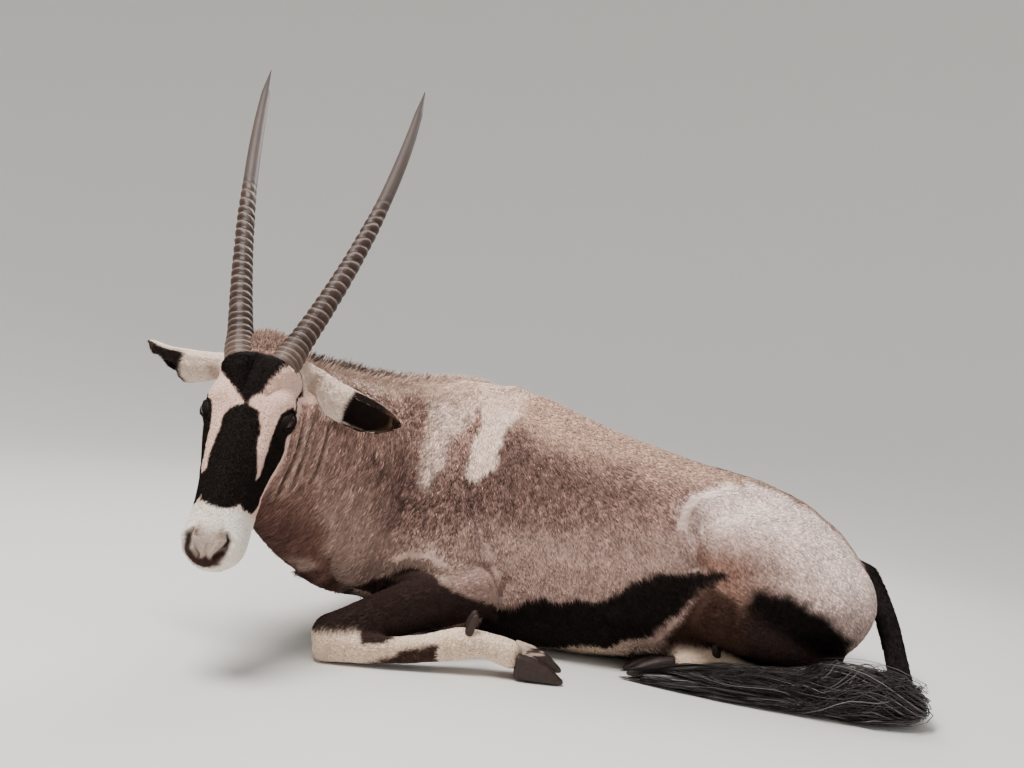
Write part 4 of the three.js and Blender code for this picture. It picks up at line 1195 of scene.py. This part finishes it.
class Roots:
    """Random places on the skin with all that is known of the skin there."""

    def __init__(self, rng, count, surface, weight):
        corners, uv, co = surface["corners"], surface["uv"], surface["co"]
        a, b, c = (co[corners[:, i]] for i in range(3))
        area = np.linalg.norm(np.cross(b - a, c - a), axis=1) * weight[corners].mean(axis=1)
        total = np.cumsum(area)
        picks = np.searchsorted(total, rng.random(count) * total[-1])
        picks = np.minimum(picks, len(corners) - 1)
        u, v = rng.random(count), rng.random(count)
        over = u + v > 1
        u[over], v[over] = 1 - u[over], 1 - v[over]
        self.share = np.stack([1 - u - v, u, v], axis=1)
        self.corners = corners[picks]
        self.uv = np.sum(uv[picks] * self.share[..., None], axis=1)
        self.place = self.read(co)
        self.normal = unit(self.read(surface["normals"]))
        self.flow = unit(self.read(surface["flow"]))
        self.kinds = {kind: self.read(values) for kind, values in surface["kinds"].items()}

    def read(self, values):
        share = self.share if values.ndim == 1 else self.share[..., None]
        return np.sum(values[self.corners] * share, axis=1)


def hair_object(name, vertices, faces, shades, patch, uv):
    """One mesh of closed hairs, each painted and with its patch at its root's place on the skin's map."""
    count, per, _ = vertices.shape
    vertices[..., 2] = np.maximum(vertices[..., 2], HAIR_FLOOR)
    faces = np.arange(count)[:, None, None] * per + np.array(faces)[None]
    thing = new_object(name, vertices.reshape(-1, 3), faces.reshape(-1, 3))
    set_colours(thing, shades.reshape(-1, 3))
    layer = thing.data.uv_layers.new(name=PATCH_MAP)
    corners = read_all(thing.data.loops, "vertex_index", 1, np.int32)[:, 0]
    flat = np.repeat(uv, per, axis=0)[corners] + np.tile(patch, (count, 1))[corners] * PATCH
    layer.data.foreach_set("uv", np.clip(flat, 0, 1).astype(np.float32).ravel())
    return thing


def make_tufts(name, roots, length, width, lift, shades, rng):
    """One mesh of closed four-sided tufts; shades has the colours at the root, the middle and the tip."""
    turn = rng.normal(0, TUFT_SHAKE, len(length))[:, None]
    flow = unit(roots.flow + np.cross(roots.normal, roots.flow) * turn)
    half = np.cross(roots.normal, flow) * (width / 2)[:, None]
    sink = roots.place - roots.normal * TUFT_SINK
    middle = flow * (length * TUFT_MIDDLE)[:, None]
    middle += roots.normal * (length * TUFT_ARCH + TUFT_RISE)[:, None]
    tip = flow * length[:, None] + roots.normal * lift[:, None]
    corners = np.stack([sink - half, sink + half, roots.place + middle, roots.place + tip], axis=1)
    faces = [[3, 1, 0], [2, 0, 1], [2, 3, 0], [2, 1, 3]]
    patch = [[-0.5, -0.5], [0.5, -0.5], [0.0, 0.0], [0.0, 0.5]]
    root, middle, tip = shades
    return hair_object(name, corners, faces, np.stack([root, root, middle, tip], axis=1), patch, roots.uv)


def hair_shade(points, grain, rng):
    """How light each tuft is beside the coat's mean colour there."""
    stretched = points * (1, 1, 0.45)
    clump = lattice_noise(stretched, 0.0052, 61) + 0.6 * lattice_noise(stretched, 0.011, 62)
    single = rng.normal(0, 1, len(points))
    return np.exp(grain * (0.62 * clump + 0.48 * single) + 0.05 * single)


def coat_growth(surface):
    """How long, wide, dense and upright the coat grows at each point."""
    co, kinds = surface["co"], surface["kinds"]
    lengths, widths, density = (mixed(kinds, {k: v[i] for k, v in HAIR.items()}) for i in range(3))
    lengths *= 1 - 0.4 * ease(to_head(co)[:, 2], 240, 320) * kinds["head"]
    for name in (n for n in CLAWS if "hoof" in n):
        lengths *= 1 + 0.9 * ease_off(box_distance(co, name), 0.0, 0.02)
    tall = ease_off(path_distance(co, MANE_LINE)[0], 0.03, 0.08) * (1 - kinds["head"])
    lengths *= 1 + 0.5 * tall
    for place in EYE_PLACES.values():
        away = np.linalg.norm(co - on_head(place), axis=1) - EYE_RADIUS
        density *= ease(away, 0.0012, 0.003)
        lengths *= 0.5 + 0.5 * ease(away, 0.002, 0.014)
    return lengths, widths, density * surface["bare"] * ease(co[:, 2], 0.0006, 0.004), tall


def build_coat(surface):
    rng = np.random.default_rng(SEED)
    lengths, widths, density, tall = coat_growth(surface)
    material = coat_material()
    for i in range(COAT_LAYERS):
        roots = Roots(rng, TUFTS // COAT_LAYERS, surface, density)
        colour, grain = paint(roots.place, roots.normal, roots.kinds)
        count = len(colour)
        shade = hair_shade(roots.place, grain, rng)[:, None]
        length = roots.read(lengths) * rng.uniform(0.75, 1.2, count)
        width = roots.read(widths) * rng.uniform(0.75, 1.25, count)
        lift = length * rng.uniform(0.05, 0.16, count)
        lift *= 1 + 0.8 * roots.read(tall) - 0.5 * roots.kinds["head"]
        pale = np.clip(colour.mean(axis=1) / 0.5, 0, 1)[:, None]
        # Each tuft is painted darker at its root, less so in pale coat, as shade deep in the coat, and a
        # little lighter at its tip
        shades = [colour * shade * light for light in (0.62 + 0.25 * pale, 1.0, 1.08)]
        layer = make_tufts(f"coat_layer_{i + 1}", roots, length, width, lift, shades, rng)
        add_piece(layer, material, "coat")


# Long hair: blades with a root, a bend and a tip

BLADE_FLAT = 0.45
ROOT_SINK = 0.002


def blades(name, paths, widths, side, colours, uv):
    """One mesh of closed three-cornered blades; paths holds each blade's points from root to tip."""
    count, steps, _ = paths.shape
    along = unit(np.gradient(paths, axis=1))
    side = unit(side[:, None] - along * np.sum(side[:, None] * along, axis=2)[..., None])
    up = np.cross(along, side)
    ring = np.array([[-1.0, -BLADE_FLAT / 2], [1.0, -BLADE_FLAT / 2], [0.0, BLADE_FLAT]])
    half = widths[:, :-1, None, None] / 2
    body = (paths[:, :-1, None] + side[:, :-1, None] * ring[None, None, :, 0:1] * half
            + up[:, :-1, None] * ring[None, None, :, 1:2] * half)
    vertices = np.concatenate([body.reshape(count, -1, 3), paths[:, -1:]], axis=1)
    last = (steps - 2) * 3
    tip = last + 3
    faces = [[0, 2, 1]]
    for row in range(0, last, 3):
        for j in range(3):
            p, q = row + j, row + (j + 1) % 3
            faces += [[p, q, q + 3], [p, q + 3, p + 3]]
    faces += [[last + j, last + (j + 1) % 3, tip] for j in range(3)]
    shades = np.concatenate([np.repeat(colours[:, :-1], 3, axis=1), colours[:, -1:]], axis=1)
    rise = np.linspace(-0.5, 0.5, steps)
    patch = np.stack([np.tile([-0.5, 0.5, 0.0], steps - 1) * 0.9, np.repeat(rise[:-1], 3)], axis=1)
    thing = hair_object(name, vertices, faces, shades, np.concatenate([patch, [[0.0, 0.5]]]), uv)
    smooth(thing)
    return thing


def hair_paths(roots, length, rise, bend, steps):
    """Each hair's points from just under the skin, straight along its rise at first and then bent over."""
    t = np.linspace(0, 1, steps)[None, :, None]
    foot = roots.place - roots.normal * ROOT_SINK
    return foot[:, None] + length[:, None, None] * (rise[:, None] * t + bend[:, None] * t**2)


def hair_widths(rng, width, count, steps):
    return width * rng.uniform(0.7, 1.2, count)[:, None] * np.linspace(1, 0.35, steps)[None]


POLL_BLADES = 2200
POLL_LENGTH = 0.014
POLL_WIDTH = 0.0018
POLL_STEPS = 5


def build_poll_hair(surface):
    """The fuzzy hair that stands between the horns."""
    rng = np.random.default_rng(SEED + 3)
    left, out, down = to_head(surface["co"]).T
    weight = ease_off(np.abs(left), 40, 52) * ease_off(down, -16, -2) * ease(down, -75, -60)
    weight *= ease_off(np.abs(out + 40), 50, 62) * surface["kinds"]["head"]
    roots = Roots(rng, POLL_BLADES, surface, weight)
    length = POLL_LENGTH * rng.uniform(0.5, 1.15, POLL_BLADES)
    lean = -FACE_DOWN * 0.5 - FACE_OUT * 0.6 + rng.normal(0, 0.5, (POLL_BLADES, 3))
    paths = hair_paths(roots, length, unit(roots.normal + lean), lean * 0.25, POLL_STEPS)
    widths = hair_widths(rng, POLL_WIDTH, POLL_BLADES, POLL_STEPS)
    tone = np.exp(rng.normal(0, 0.3, POLL_BLADES))[:, None, None]
    # Each blade is painted darker towards its root, as shade deep in the fuzz
    colours = POLL_BROWN * np.linspace(0.4, 1.15, POLL_STEPS)[None, :, None] * tone
    side = np.cross(roots.normal, lean) + rng.normal(0, 0.3, (POLL_BLADES, 3))
    add_piece(blades("poll_hair", paths, widths, side, colours, roots.uv), coat_material(), "coat")


MANE_BLADES = 2800
MANE_LENGTH = 0.034
MANE_WIDTH = 0.0022
MANE_STEPS = 6
MANE_HALF = 0.02  # half the width of the strip that it grows on
MANE_DARK = linear(66, 50, 44)
# Share along the crest, with the hair's length there, and with how many of the hairs have a dark tip
MANE_LONG = np.array([[0, 0.9], [0.1, 1.0], [0.5, 0.9], [0.8, 0.7], [1.0, 0.35]])
MANE_DARKNESS = np.array([[0, 0.5], [0.1, 0.85], [0.5, 0.75], [0.7, 0.25], [1.0, 0.08]])


def build_mane(surface):
    """Upright hair along the crest, cream below and dark at the tips."""
    rng = np.random.default_rng(SEED + 1)
    away, _ = path_distance(surface["co"], MANE_LINE)
    weight = np.clip(1 - away / MANE_HALF, 0, 1) * (surface["normals"][:, 2] > 0.3)
    roots = Roots(rng, MANE_BLADES, surface, weight)
    _, along = path_distance(roots.place, MANE_LINE)
    away = roots.read(away)
    length = MANE_LENGTH * rng.uniform(0.55, 1.15, MANE_BLADES) * (1 - 0.45 * away / MANE_HALF)
    length *= np.interp(along, *MANE_LONG.T)
    way = unit(read_along(along, MANE_LINE, unit(np.gradient(MANE_LINE, axis=0))))
    lean = way * rng.uniform(0.25, 0.9, MANE_BLADES)[:, None] + rng.normal(0, 0.12, (MANE_BLADES, 3))
    paths = hair_paths(roots, length, unit(roots.normal + lean * 0.35), lean * 0.5, MANE_STEPS)
    widths = hair_widths(rng, MANE_WIDTH, MANE_BLADES, MANE_STEPS)
    dark = (rng.random(MANE_BLADES) < np.interp(along, *MANE_DARKNESS.T)) & (away < 0.014)
    tip = np.where(dark[:, None], MANE_DARK, CREAM * 0.95)
    blend = ease(np.linspace(0, 1, MANE_STEPS), 0.35, 0.75)[None, :, None]
    tone = np.exp(rng.normal(0, 0.14, MANE_BLADES))[:, None, None]
    colours = (CREAM * 0.8 * (1 - blend) + tip[:, None] * blend) * tone
    side = np.cross(roots.normal, way) + rng.normal(0, 0.3, (MANE_BLADES, 3))
    add_piece(blades("mane", paths, widths, side, colours, roots.uv), coat_material(), "coat")


# Tail tuft

TUFT_LINE = np.array([
    # along, across, up, half-width, above, below
    [0.946, -0.246, 0.066, 0.022, 0.020, 0.020],
    [0.942, -0.280, 0.045, 0.034, 0.031, 0.034],
    [0.915, -0.304, 0.038, 0.066, 0.050, 0.036],
    [0.870, -0.318, 0.034, 0.080, 0.054, 0.033],
    [0.800, -0.318, 0.031, 0.080, 0.048, 0.030],
    [0.720, -0.314, 0.029, 0.064, 0.040, 0.028],
    [0.640, -0.305, 0.027, 0.056, 0.033, 0.026],
    [0.560, -0.294, 0.024, 0.050, 0.030, 0.023],
    [0.480, -0.278, 0.019, 0.038, 0.024, 0.018],
    [0.410, -0.262, 0.012, 0.024, 0.015, 0.011],
    [0.345, -0.249, 0.006, 0.010, 0.008, 0.005],
])
TUFT_LOCKS = 100
TUFT_STRANDS = 32
TUFT_STEPS = 11
TUFT_WIDTH = 0.0027
TUFT_LOFT = 1.25
# Painted highlight on some strands of the tail's tuft
TAIL_HIGHLIGHT = linear(112, 104, 104)
CORE_RINGS = 60
CORE_SIDES = 28


def along_tuft(t):
    """The tuft's line, its sideways direction and its sizes at each share of its length."""
    line = TUFT_LINE[:, :3]
    way = read_along(t + 0.04, line, line) - read_along(t - 0.04, line, line)
    across = unit(np.cross(unit(way), (0.0, 0.0, 1.0)))
    return read_along(t, line, line), across, read_along(t, line, TUFT_LINE[:, 3:])


def build_tuft_core():
    """The closed body of hair under the tuft's single locks."""
    centre, across, sizes = along_tuft(np.linspace(0.0, 0.93, CORE_RINGS))
    angle = np.linspace(0, 2 * np.pi, CORE_SIDES, endpoint=False)[None]
    wave = 0.66 + 0.05 * np.sin(angle * 7)
    height = np.where(np.sin(angle) > 0, sizes[:, 1:2], sizes[:, 2:3])
    co = centre[:, None] + across[:, None] * (np.cos(angle) * sizes[:, 0:1] * wave)[..., None]
    co[..., 2] = np.maximum(co[..., 2] + np.sin(angle) * height * wave, MM)
    ends = co[[0, -1]].mean(axis=1)
    vertices = np.concatenate([co.reshape(-1, 3), ends])
    core = new_object("tail_tuft_core", vertices, tube_faces(CORE_RINGS, CORE_SIDES))
    # The core is painted at half the tail's black, as the shade inside the tuft
    set_colours(core, np.tile(TAIL_BLACK * 0.5, (len(vertices), 1)))
    smooth(core)
    return core


def build_tail_tuft(surface):
    rng = np.random.default_rng(SEED + 2)
    count = TUFT_LOCKS * TUFT_STRANDS
    lock = np.repeat(np.arange(TUFT_LOCKS), TUFT_STRANDS)
    lock_start = np.linspace(0, 0.66, TUFT_LOCKS) ** 1.1 + rng.uniform(-0.03, 0.03, TUFT_LOCKS)
    lock_end = np.clip(lock_start + rng.uniform(0.26, 0.5, TUFT_LOCKS), 0, 1.0)
    start = np.clip(lock_start[lock] + rng.uniform(-0.05, 0.05, count), 0, 1)
    end = np.clip(lock_end[lock] - 0.09 * rng.random(count) ** 2, 0, 1)
    share = np.linspace(0, 1, TUFT_STEPS)
    centre, across, sizes = along_tuft(start[:, None] + (end - start)[:, None] * share)
    lock_angle = rng.uniform(0, 2 * np.pi, TUFT_LOCKS)
    lock_drift = rng.normal(0, 0.8, TUFT_LOCKS)
    beat, phase = rng.uniform(3, 7, TUFT_LOCKS), rng.uniform(0, 6, TUFT_LOCKS)
    angle, drift, beat, phase = (row[lock][:, None] for row in (lock_angle, lock_drift, beat, phase))
    angle = angle + drift * share + 0.32 * np.sin(share * beat + phase)
    angle = angle + rng.normal(0, 0.26, count)[:, None] * (1 - 0.72 * share**1.4)
    radius = np.sqrt(rng.uniform(0.35, 1.1, TUFT_LOCKS))[lock] + rng.normal(0, 0.09, count)
    radius = radius[:, None] * (1 - 0.4 * ease_off(share, 0, 0.25)) * (1 + 0.1 * share**2)
    height = np.sin(angle) * radius
    height = height * np.where(height > 0, sizes[..., 1] * TUFT_LOFT, sizes[..., 2])
    paths = centre + across * (np.cos(angle) * radius * sizes[..., 0])[..., None]
    paths[..., 2] = np.maximum(paths[..., 2] + height, 0.0015 + 0.002 * radius)
    widths = TUFT_WIDTH * rng.uniform(0.6, 1.3, count)[:, None] * (1 - 0.7 * share**2)[None]
    tone = np.exp(rng.normal(0, 0.3, TUFT_LOCKS)[lock] + rng.normal(0, 0.25, count))[:, None, None]
    colours = np.tile(TAIL_BLACK * 1.1, (count, TUFT_STEPS, 1)) * tone
    # Some strands carry a painted highlight, brightest in their middle
    highlit = rng.random(count) < 0.16
    colours[highlit] = TAIL_HIGHLIGHT * tone[highlit] * (0.35 + 0.65 * np.sin(np.pi * share)[None, :, None])
    side = across[:, 0] + rng.normal(0, 0.5, (count, 3))
    root_uv = np.tile(surface["tail_uv"], (count, 1))
    material = painted_material("tail hair", 0.36, 0.6)
    add_piece(blades("tail_tuft_hair", paths, widths, side, colours, root_uv), material, "tail_hair")
    add_piece(build_tuft_core(), material, "tail_hair", "tail_tuft")


# Horns

HORN_SIDES = 56
HORN_STEPS = 330
HORN_RINGS = 26
HORN_TAPER = np.array([22.2, 19.4, 17.8, 16.2, 15.0, 14.3, 14.2, 13.4, 11.8, 9.4, 1.2]) * MM
HORN_FLARE = 0.18
HORN_DEEP = 1.06  # how much deeper than wide a horn is
HORN_SLANT = 0.0105  # how far the upper rings climb towards the outer side, as a share of the length
HORN_FOOT = 0.018  # how deep its foot sinks in the head
HORN_START = -0.025  # where its rings start and end, as a share of the length
HORN_RINGED = 0.56
RING_HEIGHT = 0.0032
HORN_GRAIN = 0.0002
HORN_BROWN = linear(58, 42, 36)
# A paler horn foot, and painted highlight on each ring's upper face; painted shade in the grooves between
# rings
HORN_PALE_AND_HIGHLIGHT = linear(150, 127, 114)
HORN_SHADE = linear(30, 21, 19)
HORN_TIP = linear(72, 61, 57)
HORN_END = linear(52, 43, 40)


def side_name(part, side):
    return part + ("_left" if side > 0 else "_right")


def horn_ring_places():
    """Where each ring starts, as a share of the horn's length."""
    k = np.arange(HORN_RINGS + 1) / HORN_RINGS
    return HORN_START + (HORN_RINGED - HORN_START) * (0.28 * k + 0.72 * k**1.45)


def horn_rings(side, t, angle, wobble):
    """The number of the ring at each point of a horn, and how far up that ring the point is."""
    places = horn_ring_places()
    wide = np.interp(t, places[:-1], np.diff(places))
    shift = -HORN_SLANT * ease(t, 0.08, 0.36) * side * np.sin(angle)
    shift = shift + wide * 0.16 * lattice_noise(wobble, 1.0, 5 + side)
    return np.interp(t - shift, places, np.arange(HORN_RINGS + 1.0))


def build_horn(side):
    """One horn: rings that are tight at the foot and wider higher up, each a ledge, and a smooth tip."""
    base, bend, tip = horn_bow(side)
    row = np.linspace(HORN_START, 1, HORN_STEPS)
    line = np.outer((1 - row) ** 2, base) + np.outer(2 * row * (1 - row), bend) + np.outer(row**2, tip)
    way = unit(np.gradient(line, axis=0))
    front = unit(FACE_OUT - way * (way @ FACE_OUT)[:, None])
    right = np.cross(front, way)
    t = np.repeat(row, HORN_SIDES)
    angle = np.tile(np.linspace(0, 2 * np.pi, HORN_SIDES, endpoint=False), HORN_STEPS)
    wobble = np.stack([t * 60, np.cos(angle), np.sin(angle)], axis=1)
    ring = horn_rings(side, t, angle, wobble)
    phase = ring % 1.0
    fade = np.clip(0.5 + ring / 8, 0, 1) * np.clip((HORN_RINGS - ring) / 4.5, 0, 1)
    ledge = ease(phase, 0.02, 0.5) * ease_off(phase, 0.66, 0.96) * (0.8 + 0.2 * np.cos(angle))
    radius = np.interp(t, np.linspace(0, 1, len(HORN_TAPER)), HORN_TAPER)
    radius *= 1 + HORN_FLARE * ease_off(t, 0.0, 0.06)
    radius += RING_HEIGHT * fade * ledge
    radius += HORN_GRAIN * np.sin(angle * 13 + 2 * lattice_noise(wobble, 3.0, 9)) * (1 - t)
    centre, front, right = (np.repeat(rows, HORN_SIDES, axis=0) for rows in (line, front, right))
    co = centre + right * (np.sin(angle) * radius)[:, None]
    co += front * (np.cos(angle) * radius * HORN_DEEP)[:, None]
    sunk = co[:HORN_SIDES] - way[0] * HORN_FOOT - FACE_OUT * HORN_FOOT * 0.12
    ends = [sunk.mean(axis=0) - way[0] * 0.006, line[-1] + way[-1] * MM]
    faces = tube_faces(HORN_STEPS + 1, HORN_SIDES)
    horn = new_object(side_name("horn", side) + "_form", np.concatenate([sunk, co, ends]), faces)
    # Painted light on the rings: a highlight on each ring's upper face and shade in the groove between rings
    pale = hump(phase - 0.68, 0.085) * fade
    dark = (ease(phase, 0.8, 0.92) + ease_off(phase, 0.05, 0.35)) * fade
    set_colours(horn, horn_colours(pale, dark, t, wobble))
    smooth(horn)
    return horn


def horn_colours(pale, dark, share, wobble):
    """The colours of a horn's points, with the rings' painted highlights and shade, and with those of its
    sunk foot, darker as painted shade, and its two ends added.
    """
    streak = lattice_noise(wobble * (0.05, 5.0, 5.0), 1.0, 15)[:, None]
    blotch = lattice_noise(wobble, 1.7, 16)[:, None]
    colour = HORN_BROWN * np.exp(0.16 * blotch + 0.1 * streak)
    layers = [
        (HORN_TIP * np.exp(0.1 * blotch + 0.24 * streak), ease(share, 0.46, 0.6)),
        (HORN_END * np.exp(0.2 * streak), ease(share, 0.8, 1.0) * 0.8),
        (HORN_PALE_AND_HIGHLIGHT * 0.7, ease_off(share, 0.0, 0.05) * 0.35),
        # Painted highlight on the rings' upper faces and painted shade in their grooves
        (HORN_PALE_AND_HIGHLIGHT, np.clip(pale, 0, 1) * 0.8),
        (HORN_SHADE, np.clip(dark, 0, 1) * 0.8),
    ]
    for shade, amount in layers:
        colour += (shade - colour) * amount[:, None]
    # The sunk foot is darker, as painted shade where the horn enters the skin
    return np.concatenate([colour[:HORN_SIDES] * 0.7, colour, [HORN_SHADE], [HORN_END]])


# Hooves, dewclaws and eyes

CLAW_GRAIN = 0.0025
CLAW_FLOOR = 0.0003  # the lowest that a hoof reaches
DEWCLAW_SWELL = 0.0022
HOOF_DARK = linear(42, 29, 25)
HOOF_PALE = linear(196, 170, 156)
EYE_BROWN = linear(34, 20, 14)
EYE_BLACK = linear(10, 8, 8)
EYE_RIM = linear(30, 22, 20)


def build_claw(name):
    """A hoof or dewclaw with growth rings, pale on the inner toe of the foot that shows its sole."""
    swell = DEWCLAW_SWELL if "dewclaw" in name else 0
    claw = remeshed(joined_copy([name], swell), CLAW_GRAIN)
    claw.name = name + "_form"
    co = relax(claw.data, points_of(claw.data), np.full(len(claw.data.vertices), 0.5), 6)
    co[:, 2] = np.maximum(co[:, 2], CLAW_FLOOR)
    co, _ = set_points(claw.data, co)
    smooth(claw)
    low, high = co.min(axis=0), co.max(axis=0)
    ahead = ((co - low) / (high - low))[:, 0]
    ridge = np.sin(ahead * 46 + 5 * lattice_noise(co, 0.02, 71))
    streak = lattice_noise(co * (0.2, 1, 1), 0.004, 72)
    colour = HOOF_DARK * np.exp(0.1 * ridge + 0.22 * streak + 0.12 * lattice_noise(co, 0.012, 73))[:, None]
    if name.startswith("fore") and name.endswith("hoof_inner"):
        pale = ease(0.6 - ahead + 0.35 * streak, 0, 0.3) * 0.8
        colour += (HOOF_PALE - colour) * pale[:, None]
    set_colours(claw, colour)
    return claw


def build_eye(side):
    """An eyeball with a dark iris, a level slit of a pupil and a brown rim."""
    place = Vector(on_head(EYE_PLACES[side]))
    bpy.ops.mesh.primitive_uv_sphere_add(segments=72, ring_count=44, radius=EYE_RADIUS, location=place)
    eye = bpy.context.object
    eye.name = side_name("eye", side) + "_form"
    bpy.ops.object.shade_smooth()
    h = unit(points_of(eye.data)) @ HEAD_AXES.T
    ahead, up, out = eye_axes(side) @ h.T
    colour = EYE_BROWN * np.exp(0.2 * lattice_noise(h, 0.08, 81))[:, None]
    colour += (EYE_BLACK - colour) * ease_off(np.hypot(ahead / 0.42, up / 0.2), 0.85, 1.0)[:, None]
    colour += (EYE_RIM - colour) * ease_off(out, 0.55, 0.68)[:, None]
    set_colours(eye, colour)
    return eye


def main():
    make_camera()
    make_studio()
    skin = build_skin()
    mesh = skin.data
    co, normals = points_of(mesh), normals_of(mesh)
    kinds = kinds_of(mesh, nearest_nodes(co))
    colour, grain = paint(co, normals, kinds)
    shade = hair_shade(co, grain * 0.7, np.random.default_rng(SEED + 9))
    # The skin between the hairs is painted darker than the coat above it, as shade under the hair
    set_colours(skin, colour * shade[:, None] * 0.8)
    unwrap(skin)
    corners, uv = triangles_of(mesh)
    surface = {"co": co, "normals": normals, "kinds": kinds, "corners": corners, "uv": uv}
    surface["bare"] = 1 - 0.9 * ease(-head_relief(co), 2.5, 5.0) * kinds["head"]
    surface["flow"] = hair_flow(mesh, co, normals, kinds)
    surface["tail_uv"] = uv[np.linalg.norm(co[corners[:, 0]] - TAIL[-1], axis=1).argmin()].mean(axis=0)
    build_coat(surface)
    build_mane(surface)
    build_poll_hair(surface)
    build_tail_tuft(surface)
    smooth(skin)
    add_piece(skin, coat_material(), "coat", *COATED)
    horn_material = grained_material("horn", 0.46, 240, 0.25)
    hoof_material = grained_material("hoof", 0.5, 160, 0.3)
    eye_material = grained_material("eye", 0.16, 30, 0.02)
    for side in (1, -1):
        add_piece(build_horn(side), horn_material, "horn", side_name("horn", side))
        add_piece(build_eye(side), eye_material, "eye", side_name("eye", side))
    for name in CLAWS:
        add_piece(build_claw(name), hoof_material, "hoof", name)


main()
